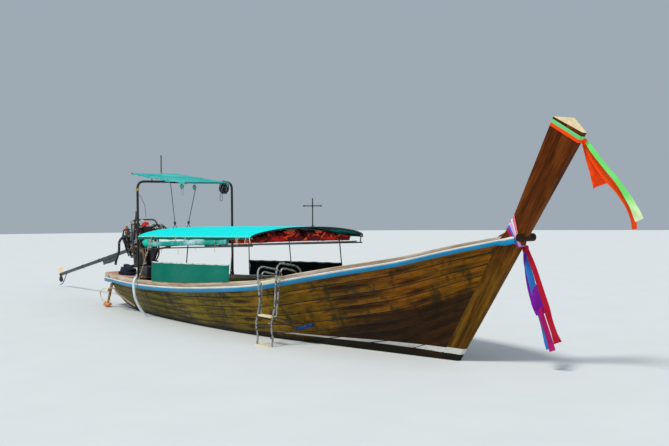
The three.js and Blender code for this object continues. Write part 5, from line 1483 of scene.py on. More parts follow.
def studs(name, body, places, radius, height, key, sides=8):
    """Tapered heads, each at a place and along its direction."""
    def head(nodes, links, start):
        cone, top = nodes.new("GeometryNodeMeshCone"), nodes.new("ShaderNodeMath")
        cone.inputs["Vertices"].default_value = sides
        top.operation = "MULTIPLY"
        top.inputs[1].default_value = 0.6
        links.new(start.outputs["Radius"], cone.inputs["Radius Bottom"])
        links.new(start.outputs["Radius"], top.inputs[0])
        links.new(top.outputs[0], cone.inputs["Radius Top"])
        links.new(start.outputs["Height"], cone.inputs["Depth"])
        return cone.outputs["Mesh"]
    set_out(name, body, [place for place, _ in places], key, {"Radius": radius, "Height": height}, head,
            [way for _, way in places])


def slabs(name, body, places, size, key):
    """Equal slabs at places."""
    def slab(nodes, links, start):
        cube = nodes.new("GeometryNodeMeshCube")
        links.new(start.outputs["Size"], cube.inputs["Size"])
        return cube.outputs["Mesh"]
    return set_out(name, body, places, key, {"Size": size}, slab)


class BOAT_OT_plugs(bpy.types.Operator):
    """Sets the wooden plugs over the fastenings of the strakes, one row at each rib"""
    bl_idname = "longtail.plugs"
    bl_label = "Plugs"

    def execute(self, context):
        settings = context.scene.longtail_hull
        places = []
        for s in spread(0.05, 0.955, 28):
            for row in range(settings.strakes):
                for share in (0.22, 0.78):
                    t = (row + share) / settings.strakes
                    place, _, out = hull_frame(s, t)
                    if place.z > -0.05:
                        point = place + out * 0.0006
                        places += [(point, out), (flip(point), flip(out))]
        studs("hull_plugs", "hull", places, 0.0065, 0.0012, "dark_wood", 7)
        return {"FINISHED"}


# Cords


def engine_points(rows):
    return [ENGINE @ vec(*row) for row in rows]


OVERFLOW_ROUTE = [
    (-0.285, -0.18, 0.19), (-0.31, -0.214, 0.208), (-0.4, -0.252, 0.2), (-0.476, -0.285, 0.16),
    (-0.5, -0.31, 0.1), (-0.505, -0.32, -0.03), (-0.56, -0.33, -0.13), (-0.64, -0.345, -0.225),
    (-0.662, -0.35, -0.29),
]
COOLING_ROUTE = [
    (-0.21, -0.19, -0.05), (-0.11, -0.192, -0.042), (0.02, -0.192, -0.042), (0.13, -0.192, -0.05),
    (0.258, -0.205, -0.074), (0.434, -0.224, -0.145), (0.567, -0.236, -0.232), (0.612, -0.24, -0.326),
    (0.618, -0.24, -0.42),
]
WATER_ROUTE = [
    (-3.44, -0.56, 0.641), (-3.2, -0.64, 0.645), (-2.98, -0.735, 0.655), (-2.82, -0.815, 0.6625),
    (-2.745, -0.88, 0.6699), (-2.712, -0.945, 0.6319), (-2.7, -0.966, 0.56), (-2.7, -0.962, 0.44),
    (-2.705, -0.93, 0.3), (-2.69, -0.86, 0.15), (-2.66, -0.78, 0.02), (-2.64, -0.735, -0.05),
]
RING_ROUTE = [
    (-4.6, -0.584, 0.33), (-4.66, -0.6, 0.345), (-4.74, -0.606, 0.338), (-4.815, -0.608, 0.322),
    (-4.885, -0.608, 0.288), (-4.925, -0.606, 0.232), (-4.905, -0.602, 0.172), (-4.845, -0.598, 0.128),
    (-4.79, -0.592, 0.108), (-4.745, -0.586, 0.092),
]


def hose_clamp(shape, place, way, radius, finish=0):
    """A band round a hose with its screw housing."""
    way = Vector(way).normalized()
    shape.turned(Vector(place) - way * 0.006, way, [(0, radius), (0.0005, radius + 0.0022), (0.0115, radius + 0.0022),
        (0.012, radius)], 20, finish)
    side = way.orthogonal().normalized()
    shape.lathe(Vector(place) + side * (radius + 0.004) - way.cross(side) * 0.009, way.cross(side),
        [(0, 4), (1, 5.5), (17, 5.5), (18, 4)], 8, finish)


class BOAT_OT_hoses(bpy.types.Operator):
    """Runs the three hoses and the bent pipe loop at the stern"""
    bl_idname = "longtail.hoses"
    bl_label = "Hoses"

    def execute(self, context):
        for name, route, radius, body, slot, key, node, end, stiff in (
            ("overflow_line", engine_points(OVERFLOW_ROUTE), 0.023, "engine", "overflow_hose", "black_rubber",
             "overflow_hose", "bare", "medium"),
            ("cooling_line", engine_points(COOLING_ROUTE), 0.0205, "engine", "cooling_hose", "brown_hose",
             "cooling_hose", "fitting", "medium"),
            ("water_line", [vec(*p) for p in WATER_ROUTE], 0.024, "hull", "water_hose", "pale_hose", "water_hose",
             "bare", "medium"),
            ("stern_pipe_loop", [vec(*p) for p in RING_ROUTE], 0.0125, "hull", "stern_stake", "cream_plastic", None,
             "object", "stiff"),
        ):
            path = smooth_path(route, 40)
            shape = Shape()
            shape.tube(path, radius, 18, bore=0.72 if end == "bare" else 0.0)
            hose = shape.build(name, body, slot, key, (node,) if node else (), angle=60)
            if name == "overflow_line":
                metal = Shape()
                hose_clamp(metal, path[1], path[2] - path[0], radius)
                hose_clamp(metal, path[20], path[21] - path[19], radius)
                metal.tube(engine_points([(-0.285, -0.1505, 0.182), (-0.285, -0.183, 0.188)]), 0.0185, 14)
                metal.build("overflow_clamps", body, slot, "dull_metal")
            if name == "cooling_line":
                wound = Shape()
                sides = []
                long_path = smooth_path(route, 160)
                side = (long_path[1] - long_path[0]).normalized().orthogonal().normalized()
                steps = int(line_length(long_path) / 0.0092) * 10
                for n in range(steps):
                    share = 0.01 + 0.93 * n / steps
                    place = cubic(long_path, share)
                    way = (cubic(long_path, min(1, share + 0.004)) - cubic(long_path, share - 0.004)).normalized()
                    side = (side - way * side.dot(way)).normalized()
                    angle = math.tau * n / 10
                    sides.append(place + (side * math.cos(angle) + way.cross(side) * math.sin(angle)) * 0.0222)
                wound.tube(sides, 0.0046, 5)
                wound.build("cooling_wrap", body, slot, "brown_rope", angle=80)
                nozzle = Shape()
                way = (path[-1] - path[-3]).normalized()
                nozzle.lathe(path[-1] - way * 0.055, way, [(0, 21.2), (2, 24.8), (12, 25), (16, 22.8), (40, 22.8),
                    (44, 25.2), (52, 25.2), (58, 20), (50, 16.5), (20, 16)], 20)
                nozzle.tube(engine_points([(-0.2, -0.1505, -0.05), (-0.2, -0.17, -0.05), (-0.206, -0.186, -0.05)]),
                    0.0215, 16)
                nozzle.build("cooling_fitting", body, slot, "dull_metal")
            if name == "water_line":
                outlet = Shape()
                outlet.lathe((-3.44, -0.56, DECK), UP, [(0, 50), (4, 52), (7, 48), (9, 30), (46, 29), (52, 22)], 24)
                outlet.tube([(-3.44, -0.56, 0.641), (-3.425, -0.565, 0.641)], 0.0262, 16)
                hose_clamp(outlet, path[1], path[2] - path[0], radius)
                outlet.build("deck_outlet", body, slot, "dull_metal", bevel=0.0008)
        return {"FINISHED"}


# Ribbons


def stem_loop(middle, tilt, offset, count=64):
    """The outline of the stem in a tilted plane, moved out by the offset, starting at the front."""
    normal = vec(math.sin(tilt), 0, math.cos(tilt))
    rise = vec(-math.cos(tilt), 0, math.sin(tilt))
    work = node_mesh("stem_post")
    geometry = work.verts[:] + work.edges[:] + work.faces[:]
    cut = bmesh.ops.bisect_plane(work, geom=geometry, plane_co=middle, plane_no=normal)["geom_cut"]
    corners = [item.co.copy() for item in cut if isinstance(item, bmesh.types.BMVert)]
    work.free()
    outline = outline_of(sorted({(round((p - middle).dot(rise), 5), round(p.y, 5)) for p in corners}))
    steps = [(b - a).length for a, b in zip(outline, outline[1:] + outline[:1])]
    total, loop = sum(steps), []
    centre = sum(outline, Vector((0, 0))) / len(outline)
    for n in range(count):
        goal, i = total * n / count, 0
        while goal > steps[i]:
            goal -= steps[i]
            i += 1
        a, b = outline[i], outline[(i + 1) % len(outline)]
        p = a.lerp(b, goal / steps[i])
        loop.append(p)
    rounded = []
    for n, p in enumerate(loop):
        near = (loop[n - 1] + p * 2 + loop[(n + 1) % count]) / 4
        push = (near - centre).normalized() * offset
        ahead = loop[(n + 1) % count] - loop[n - 1]
        out = Vector((ahead.y, -ahead.x)).normalized()
        q = p + (out if out.dot(push) > 0 else -out) * offset
        rounded.append(Vector(middle) + rise * q.x + vec(0, q.y, 0))
    return rounded


def ribbon_strip(name, slot, key, path, widths, across, seed, count=90):
    """A strip of thin cloth along a path: width at each share, turned about its length as it flutters."""
    across = Vector(across).normalized()
    points = [Vector(p) for p in path]

    def strip(u, v):
        centre = cubic(points, u)
        way = cubic(points, min(1, u + 0.01)) - cubic(points, max(0, u - 0.01))
        flat = (across - way.normalized() * across.dot(way.normalized())).normalized()
        normal = way.normalized().cross(flat)
        turn = 0.55 * math.sin(5.3 * u + seed) * u
        flat, normal = (flat * math.cos(turn) + normal * math.sin(turn),
            normal * math.cos(turn) - flat * math.sin(turn))
        place = u * (len(widths) - 1)
        n = min(int(place), len(widths) - 2)
        width = between(widths[n], widths[n + 1], place - n)
        fold = 0.2 * width * math.sin(3.1 * (v - 0.5) + 7 * u + seed) * (0.3 + 0.7 * u)
        ripple = 0.01 * noise.noise(vec(u * 7, v * 1.5, seed)) * (0.3 + u)
        frayed = 0.008 * noise.noise(vec(v * 9, seed, 0)) if u > 0.995 else 0
        return centre + flat * (v - 0.5) * width + normal * (fold + ripple) + way.normalized() * frayed

    sheet, grid = sheet_skin(name, slot, [key], strip, count, 13, 0.0016)


def wrapped_band(name, slot, key, middle, tilt, shift, width, lift, replaces=()):
    """A strip wound once round the stem."""
    normal = vec(math.sin(tilt), 0, math.cos(tilt))
    loop = stem_loop(Vector(middle) + normal * shift, tilt, lift)
    closed = loop + loop[:1]

    def band(u, v):
        place = u * (len(closed) - 1)
        n = min(int(place), len(closed) - 2)
        p = closed[n].lerp(closed[n + 1], place - n)
        crinkle = 0.0022 * noise.noise(vec(p.x * 30, p.y * 30, v * 2 + tilt * 9)) * math.sin(math.pi * u)
        out = (p - vec(middle[0], 0, middle[2]))
        out = (out - normal * out.dot(normal)).normalized()
        crown = 0.002 * (1 - (2 * v - 1) ** 2)
        return p + normal * (v - 0.5) * width + out * (max(crinkle, -0.001) + crown)

    sheet, grid = sheet_skin(name, slot, [key], band, 97, 9, 0.0016, replaces)


class BOAT_OT_ribbons(bpy.types.Operator):
    """Winds the coloured ribbons round the stem and hangs their tails"""
    bl_idname = "longtail.ribbons"
    bl_label = "Ribbons"

    def execute(self, context):
        across = (0.592, 0.806, 0)
        head, head_tilt = (5.7, 0, 2.548), math.radians(37.4)
        wrapped_band("head_wrap_green", "ribbon_upper", "ribbon_green", head, head_tilt, 0.019, 0.04, 0.0045,
            ("bow_ribbon_upper",))
        wrapped_band("head_wrap_orange", "ribbon_upper", "ribbon_orange", head, head_tilt, -0.017, 0.044, 0.0035)
        ribbon_strip("head_tail_green", "ribbon_upper", "ribbon_two_tone",
            [(5.806, 0.062, 2.472), (5.884, 0.086, 2.356), (5.975, 0.17, 2.188), (6.056, 0.24, 2.057),
            (6.117, 0.318, 1.907), (6.168, 0.389, 1.752), (6.18, 0.448, 1.644)],
            (0.034, 0.052, 0.048, 0.052, 0.062, 0.08, 0.088), across, 1.0)
        ribbon_strip("head_tail_orange", "ribbon_upper", "ribbon_orange",
            [(5.8, 0.062, 2.44), (5.858, 0.112, 2.279), (5.953, 0.226, 2.073), (6.034, 0.306, 1.94),
            (6.094, 0.376, 1.797), (6.108, 0.444, 1.65), (6.093, 0.485, 1.55)],
            (0.036, 0.06, 0.076, 0.07, 0.06, 0.056, 0.052), across, 2.1)
        ribbon_strip("head_tail_short", "ribbon_upper", "ribbon_orange",
            [(5.796, 0.058, 2.43), (5.822, 0.12, 2.259), (5.838, 0.196, 2.116), (5.856, 0.25, 1.995)],
            (0.036, 0.07, 0.11, 0.16), across, 4.4, count=50)
        knot = (5.0, 0, 1.335)
        for name, key, tilt, shift, width, lift in (
            ("bow_wrap_magenta", "ribbon_magenta", 62, 0.0, 0.04, 0.0035),
            ("bow_wrap_blue", "ribbon_blue_shaded", 67, 0.004, 0.036, 0.0055),
            ("bow_wrap_lilac", "ribbon_lilac", 72, 0.008, 0.04, 0.0075),
            ("bow_wrap_white", "ribbon_white", 78, 0.012, 0.024, 0.0055),
            ("bow_wrap_red", "ribbon_pink", 83, 0.014, 0.03, 0.004),
        ):
            wrapped_band(name, "ribbon_lower", key, knot, math.radians(tilt), shift, width, lift,
                ("bow_ribbon_lower",) if key == "ribbon_magenta" else ())
        for name, key, path, widths, seed in (
            ("bow_tail_blue", "ribbon_blue_shaded", [(4.985, 0.06, 1.33), (4.985, 0.084, 1.183), (5.029, 0.108, 0.997),
             (5.069, 0.135, 0.795), (5.109, 0.161, 0.612), (5.142, 0.195, 0.417), (5.174, 0.221, 0.245)],
             (0.036, 0.064, 0.072, 0.064, 0.052, 0.05, 0.056), 0.4),
            ("bow_tail_red", "ribbon_red_shaded", [(5.015, 0.06, 1.33), (5.055, 0.084, 1.198), (5.098, 0.1, 1.08),
             (5.153, 0.124, 0.896), (5.203, 0.146, 0.729), (5.233, 0.167, 0.59), (5.276, 0.196, 0.424),
             (5.309, 0.213, 0.325)], (0.034, 0.056, 0.06, 0.064, 0.066, 0.062, 0.064, 0.088), 1.7),
            ("bow_tail_purple", "ribbon_purple", [(4.985, 0.056, 1.3), (4.989, 0.094, 1.075), (5.034, 0.116, 0.913),
             (5.084, 0.138, 0.742), (5.117, 0.156, 0.618)], (0.026, 0.056, 0.104, 0.122, 0.09), 3.0),
            ("bow_tail_magenta", "ribbon_magenta", [(5.05, 0.13, 0.9), (5.101, 0.15, 0.71), (5.136, 0.174, 0.559),
             (5.184, 0.202, 0.399), (5.222, 0.225, 0.227)], (0.03, 0.056, 0.06, 0.056, 0.066), 5.2),
        ):
            ribbon_strip(name, "ribbon_lower", key, path, widths, across, seed)
        knots = Shape()
        puffed(knots, (5.004, 0.05, 1.335), (0.062, 0.052, 0.06), 1.0, 3, 0)
        puffed(knots, (4.986, 0.058, 1.318), (0.046, 0.04, 0.05), 1.0, 7, 1)
        knot_piece = knots.build("bow_knot", "hull", "ribbon_lower", ["ribbon_red_shaded", "ribbon_magenta"], angle=80)
        tuck = Shape()
        puffed(tuck, (5.806, 0.056, 2.446), (0.05, 0.04, 0.06), 1.0, 5, 0)
        tuck_piece = tuck.build("head_knot", "hull", "ribbon_upper", "ribbon_orange", angle=80)
        return {"FINISHED"}


# Stern


class BOAT_OT_stern_gear(bpy.types.Operator):
    """Sets the boxes, the swivel's socket, the stake with its float, the taut line and the folded cover"""
    bl_idname = "longtail.stern_gear"
    bl_label = "Stern Gear"

    def execute(self, context):
        box = Shape()
        x0, x1, y0, y1 = -3.6, -3.3, -0.44, -0.14
        rows = [(0.0, 0.012), (0.004, 0.004), (0.06, 0.002), (0.062, 0.006), (0.068, 0.006), (0.07, 0.002),
                (0.135, 0.0), (0.137, -0.003), (0.168, -0.003), (0.175, 0.004)]
        box.rings([[vec(*p, DECK + height) for p in rounded_corners(x0 + inset + 0.004, x1 - inset - 0.004,
            y0 + inset + 0.004, y1 - inset - 0.004, 0.022)] for height, inset in rows])
        for y in (-0.225, -0.355):
            box.lathe((-3.52, y, DECK + 0.168), UP, [(0, 17), (10, 16), (14, 10)], 16, 1)
        box.tube(filleted([(-3.45, -0.19, DECK + 0.172), (-3.45, -0.19, DECK + 0.19), (-3.45, -0.39, DECK + 0.19),
            (-3.45, -0.39, DECK + 0.172)], 0.012), 0.006, 10, 2)
        box.build("battery", "hull", "battery_box", ["black_plastic", "dull_metal", "black_rubber"], ("battery_box",))
        fuel = Shape()
        y0, y1 = 0.14, 0.44
        rows = [(0.0, 0.016), (0.006, 0.004), (0.05, 0.0), (0.054, 0.004), (0.062, 0.004), (0.066, 0.0), (0.12, 0.0),
                (0.124, 0.004), (0.132, 0.004), (0.136, 0.0), (0.165, 0.006), (0.178, 0.018), (0.185, 0.04)]
        fuel.rings([[vec(*p, DECK + height) for p in rounded_corners(x0 + inset + 0.003, x1 - inset - 0.003,
            y0 + inset + 0.003, y1 - inset - 0.003, 0.045)] for height, inset in rows])
        fuel.lathe((-3.53, 0.36, DECK + 0.176), UP, [(0, 30), (2, 31), (20, 30), (24, 24)], 20, 1)
        fuel.tube(filleted([(-3.4, 0.29, DECK + 0.176), (-3.4, 0.29, DECK + 0.204), (-3.53, 0.29, DECK + 0.204),
            (-3.53, 0.29, DECK + 0.176)], 0.02), 0.01, 12)
        fuel.build("fuel_tank", "hull", "fuel_box", ["blue_plastic", "cream_plastic"], ("fuel_box",))
        softened("pivot_socket", "hull", "greasy_iron", 0.004, "swivel_socket")
        places = [(vec(SWIVEL_X + 0.098 * math.cos(a), 0.098 * math.sin(a), DECK + 0.0155), vec(0, 0, 1))
            for a in circle(8)]
        studs("socket_bolts", "hull", places, 0.0095, 0.008, "dull_metal", 6)
        stake = Shape()
        top, low = vec(-4.507, -0.5535, 0.448), vec(-4.69, -0.5535, 0.096)
        way = (low - top).normalized()
        length = (low - top).length
        stake.turned(top, way, [(0, 0.0255), (0.012, 0.0258), (length * 0.3, 0.0245 + 0.0006),
            (length * 0.33, 0.0262), (length * 0.36, 0.024), (length * 0.7, 0.0215), (length, 0.0184)], 20)
        stake.build("stake", "hull", "stern_stake", "amber_wood", ("stern_stake",))
        ties = Shape()
        for share in (0.1, 0.62, 0.86):
            tied(ties, top + way * length * share, 0.0255 - 0.007 * share, 4, across=way)
        tied(ties, (-4.6, -0.572, 0.33), 0.0235, 3, across=(0.3, 1, 0))
        foot = board_top(-2.6)
        line = [vec(-1.965, -CANOPY_HALF - 0.035, canopy_edge(-1.965) + 0.004),
            vec(-2.6, -foot.y - 0.006, foot.z + 0.006)]
        ties.tube([line[0] + vec(0.02, 0.03, 0.012)] + line, 0.0075, 8)
        for share in (0.24, 0.36, 0.4, 0.86):
            ties.lathe(line[0].lerp(line[1], share), line[1] - line[0],
                [(0, 7), (8, 16), (22, 17), (34, 13), (40, 7)], 12)
        tied(ties, (-2.6, -foot.y - 0.004, foot.z + 0.01), 0.012, 3)
        ties.build("stern_lashings", "hull", "stern_stake", "cream_rope")
        folds = Shape()
        for n, (x, y, z, long, wide, tall, yaw, roll) in enumerate((
            (-4.06, -0.455, 0.034, 0.5, 0.17, 0.066, 0.04, 0.0), (-4.16, -0.45, 0.075, 0.26, 0.15, 0.06, -0.35, 0.25),
            (-3.99, -0.455, 0.08, 0.3, 0.15, 0.064, 0.25, -0.2), (-4.08, -0.45, 0.115, 0.24, 0.13, 0.056, -0.55, 0.3),
            (-3.97, -0.455, 0.128, 0.18, 0.12, 0.05, 0.6, -0.35), (-4.05, -0.455, 0.15, 0.15, 0.11, 0.044, 0.2, 0.45),
        )):
            turn = Matrix.Rotation(yaw, 3, "Z") @ Matrix.Rotation(roll, 3, "Y") @ Matrix.Rotation(0.3
                * math.sin(5 * n), 3, "X")
            puffed(folds, (x, y, DECK + z), (long, wide, tall), 1.6, 40 + 3 * n, 0, 32, 17, turn)
        cover = folds.build("folded_cover", "hull", "fuel_box", "navy_cloth", angle=80)
        float_shape = Shape()
        rows = []
        for n in range(17):
            a = math.pi * n / 16
            waist = 1 - 0.14 * math.exp(-((n - 8) / 1.1) ** 2)
            rows.append([vec(-4.72 - 0.105 * math.cos(a), -0.5535 + 0.07 * math.sin(a) * waist * math.cos(b),
                0.0512 + 0.042 * math.sin(a) * waist * math.sin(b)) for b in circle(24)])
        float_shape.rings([[p + vec(0.0003 * (n == 0), 0, 0) for p in row] for n, row in enumerate(rows)])
        float_shape.build("float", "hull", "stern_float", "orange_plastic", ("stern_float",))
        spar = Shape()
        foot = hull_side(-3.66, 0.09)
        spar.tube(filleted([(-4.64, -0.572, 0.3), (-4.56, -0.59, 0.352), (-4.25, -0.63, 0.385), (-3.98, -0.69, 0.3),
            (foot.x, -foot.y - 0.016, foot.z)], 0.14, 8), 0.0155, 14)
        spar.build("stern_bent_pipe", "hull", "stern_stake", "dusky_pipe")
        return {"FINISHED"}


def rounded_corners(x0, x1, y0, y1, radius, steps=4):
    """The outline of a rectangle with round corners."""
    points = []
    for cx, cy, start in ((x1 - radius, y1 - radius, 0), (x0 + radius, y1 - radius, 90),
            (x0 + radius, y0 + radius, 180), (x1 - radius, y0 + radius, 270)):
        for n in range(steps + 1):
            a = math.radians(start + 90 * n / steps)
            points.append((cx + radius * math.cos(a), cy + radius * math.sin(a)))
    return points


# Engine


def soft_box(shape, low, high, radius, finish=0, axis=2, ease=0.004):
    """A casting: a box with round upright edges and eased ends, standing along the axis."""
    (x0, y0, z0), (x1, y1, z1) = low, high
    order = {2: (0, 1, 2), 0: (1, 2, 0), 1: (2, 0, 1)}[axis]
    lows, highs = (x0, y0, z0), (x1, y1, z1)
    a, b, c = order
    rings = []
    for along, inset in ((lows[c], ease), (lows[c] + ease, 0), (highs[c] - ease, 0), (highs[c], ease)):
        ring = []
        for p, q in rounded_corners(lows[a] + inset, highs[a] - inset, lows[b] + inset, highs[b] - inset, radius, 3):
            place = [0, 0, 0]
            place[a], place[b], place[c] = p, q, along
            ring.append(Vector(place))
        rings.append(ring)
    return shape.rings(rings, finish=finish)


class BOAT_OT_engine(bpy.types.Operator):
    """Builds the engine with its castings, pipes, pulleys and guard"""
    bl_idname = "longtail.engine"
    bl_label = "Engine"

    def execute(self, context):
        # The cream and pale yellow-green finishes in this list paint highlights on the engine.
        metals = ("engine_iron", "dull_metal", "black_paint", "belt_rubber", "cover_red", "rusty_iron",
            "cream_plastic", "pale_glint")
        block = Shape()
        soft_box(block, (-0.4, -0.138, -0.196), (0.25, 0.138, 0.2), 0.016)
        soft_box(block, (-0.33, -0.115, -0.329), (0.22, 0.115, -0.19), 0.03)
        soft_box(block, (-0.4, -0.15, -0.2), (-0.35, 0.15, 0.16), 0.045, axis=0)
        soft_box(block, (0.215, -0.148, -0.19), (0.25, 0.148, 0.15), 0.06, axis=0)
        for z in (-0.199, 0.186):
            soft_box(block, (-0.395, -0.149, z), (0.245, 0.149, z + 0.014), 0.012)
        for n in range(4):
            x = -0.275 + 0.135 * n
            for side in (-1, 1):
                soft_box(block, (x - 0.048, min(side * 0.132, side * 0.148), -0.03),
                    (x + 0.048, max(side * 0.132, side * 0.148), 0.15), 0.012, axis=2)
                block.lathe((x + 0.067, side * 0.134, -0.185), UP, [(0, 12), (360, 12)], 10)
        for n in range(7):
            soft_box(block, (-0.32 + 0.083 * n, -0.118, -0.322), (-0.312 + 0.083 * n, 0.118, -0.205), 0.003)
        block.lathe((0.245, 0, 0.04), FORE, [(0, 40), (6, 88), (10, 90), (14, 82), (22, 82), (27, 90), (31, 88),
            (32, 30), (39, 26), (40, 10)], 36, 1)
        block.lathe((0.245, 0, -0.11), FORE, [(0, 20), (4, 44), (7, 45), (12, 39), (18, 39), (23, 45), (26, 44),
            (30, 18)], 28, 1)
        circles = ((0.0, 0.04, 0.083), (0.0, -0.11, 0.04), (0.206, 0.245, 0.033))
        belt_points = sorted({(round(cy + r * math.cos(a), 5), round(cz + r * math.sin(a), 5)) for cy, cz,
            r in circles for a in circle(48)})
        outline = hull_of(belt_points)
        belt = [[vec(x, y, z) for x, y, z in ((0.2615, p[0], p[1]), (0.2735, p[0], p[1]),
            (0.2725, p[0] + q[0], p[1] + q[1]), (0.2625, p[0] + q[0], p[1] + q[1]))] for p, q in outline]
        block.rings(belt + belt[:1], capped=False, finish=3)
        soft_box(block, (0.02, -0.205, 0.015), (0.16, -0.148, 0.085), 0.012, 1)
        for n in range(4):
            x = 0.038 + 0.034 * n
            block.lathe((x, -0.178, 0.082), UP, [(0, 10), (20, 10), (22, 6), (34, 6)], 10, 1)
            run = [(x, -0.178, 0.112), (x, -0.18, 0.15), (x - 0.05 - 0.02 * n, -0.16, 0.2 + 0.01 * n),
                   (-0.205 + 0.105 * n, -0.132, 0.262), (-0.215 + 0.11 * n, -0.104, 0.3)]
            block.tube(smooth_path(run, 18), 0.004, 8, 1)
        block.lathe((-0.235, 0.19, -0.15), UP, [(0, 20), (4, 38), (110, 39), (118, 34), (120, 20)], 24, 2)
        soft_box(block, (-0.265, 0.14, -0.06), (-0.205, 0.2, -0.02), 0.01)
        block.lathe((-0.17, 0.196, -0.175), FORE, [(0, 30), (10, 45), (150, 46), (158, 36), (180, 34), (185, 20)], 24,
            1)
        soft_box(block, (-0.16, 0.14, -0.215), (-0.02, 0.196, -0.145), 0.012)
        block.moved(ENGINE).build("engine_castings", "engine", "engine_block", metals, ("engine_block",), angle=35)
        head = Shape()
        soft_box(head, (-0.27, -0.1, 0.2005), (0.18, 0.1, 0.292), 0.014)
        soft_box(head, (-0.262, -0.092, 0.292), (0.172, 0.092, 0.3), 0.014, 2)
        soft_box(head, (-0.255, -0.078, 0.298), (0.03, 0.078, 0.338), 0.03, 1, ease=0.012)
        for n in range(4):
            x = -0.215 + 0.11 * n
            head.lathe((x, -0.104, 0.255), (0, 1, 0.6), [(0, 10), (30, 10)], 8, 1)
            head.tube(smooth_path([(x, 0.095, 0.245), (x, 0.118, 0.25), (x, 0.14, 0.262)], 6), 0.017, 12, 5)
        head.tube([(-0.25, 0.142, 0.262), (0.165, 0.142, 0.262)], 0.0235, 16, 5)
        head.lathe((-0.252, 0.142, 0.262), AFT, [(0, 30), (10, 30), (12, 20)], 14, 5)
        cover = [(0.0, 0.004), (0.004, 0.0), (0.06, 0.0), (0.07, 0.004), (0.078, 0.014), (0.081, 0.03)]
        head.rings([[vec(*p, 0.315 + height) for p in rounded_corners(0.04 + inset, 0.17 - inset, -0.05 + inset * 0.9,
            0.05 - inset * 0.9, 0.022 if inset < 0.01 else 0.012)] for height, inset in cover], finish=4)
        head.lathe((0.105, 0, 0.394), UP, [(0, 18), (10, 18), (14, 10)], 14, 1)
        x, y = -0.15, -0.075
        head.lathe((x, y, 0.312), UP, [(0, 30), (6, 56), (10, 60), (30, 61), (32, 57), (70, 57), (72, 61), (94, 62),
            (100, 58), (103, 44)], 32, 2)
        # The air cleaner's cream cap is a painted highlight on its top.
        head.lathe((x, y, 0.4135), UP, [(0, 48), (5, 46), (9, 30), (11.2, 8)], 28, 6)
        for a in circle(22):
            head.lathe((x + 0.0585 * math.cos(a), y + 0.0585 * math.sin(a), 0.345), UP, [(0, 2.8), (36, 2.8)], 6, 2)
        head.moved(ENGINE).build("head_castings", "engine", "cylinder_head", metals, ("cylinder_head",), angle=35)
        slabs("head_fins", "engine", [vec(-0.045, 0, 0.214 + 0.013 * n) for n in range(6)],
              (0.462, 0.208, 0.004), "engine_iron").transform(ENGINE)
        heads = []
        for side in (-1, 1):
            for n in range(12):
                heads += [(vec(-0.385 + 0.056 * n, side * 0.1495, 0.193), vec(0, side, 0)),
                    (vec(-0.385 + 0.056 * n, side * 0.1495, -0.192), vec(0, side, 0))]
            for n in range(4):
                for dx in (-0.038, 0.038):
                    for z in (-0.015, 0.135):
                        heads.append((vec(-0.275 + 0.135 * n + dx, side * 0.148, z), vec(0, side, 0)))
        for n in range(8):
            heads += [(vec(-0.25 + 0.058 * n, side * 0.085, 0.299), vec(0, 0, 1)) for side in (-1, 1)]
        heads = [(ENGINE @ p, ENGINE.to_3x3() @ d) for p, d in heads]
        studs("engine_bolts", "engine", heads, 0.0072, 0.007, "dull_metal", 6)
        softened("swivel_yoke", "swivel", "greasy_iron", angle=30)
        softened("engine_cradle", "engine", "greasy_iron", angle=30)
        box = Shape()
        box.lathe((-0.4005, 0, 0), AFT, [(0, 100), (3, 105), (14, 105), (18, 97), (110, 78), (112, 84), (124, 84),
            (128, 72), (205, 56), (207, 62), (217, 62), (219, 48)], 40)
        for a in circle(8):
            c, s = math.cos(a), math.sin(a)
            box.rings([[vec(-0.418, c * 0.096 - s * w, s * 0.096 + c * w),
                vec(-0.51, c * 0.075 - s * w, s * 0.075 + c * w), vec(-0.51, c * 0.085 - s * w, s * 0.085 + c * w),
                vec(-0.418, c * 0.103 - s * w, s * 0.103 + c * w)] for w in (-0.004, 0.004)])
        box.moved(ENGINE).build("gearbox_casting", "engine", "gearbox", "engine_iron", ("gearbox",), angle=35)
        bottle = Shape()
        bottle.lathe((-0.375, -0.19, 0.24), UP, [(0, 26), (6, 36), (14, 39), (98, 39), (110, 36), (124, 26),
            (132, 17), (140, 15.5), (142, 17.5), (154, 17.5), (158, 14), (160, 6)], 28)
        for z in (0.262, 0.318):
            bottle.turned((-0.375, -0.19, z), UP, [(0, 0.039), (0.001, 0.0408), (0.011, 0.0408), (0.012, 0.039)], 28,
                1)
        soft_box(bottle, (-0.395, -0.1905, 0.15), (-0.36, -0.1505, 0.245), 0.004, 2)
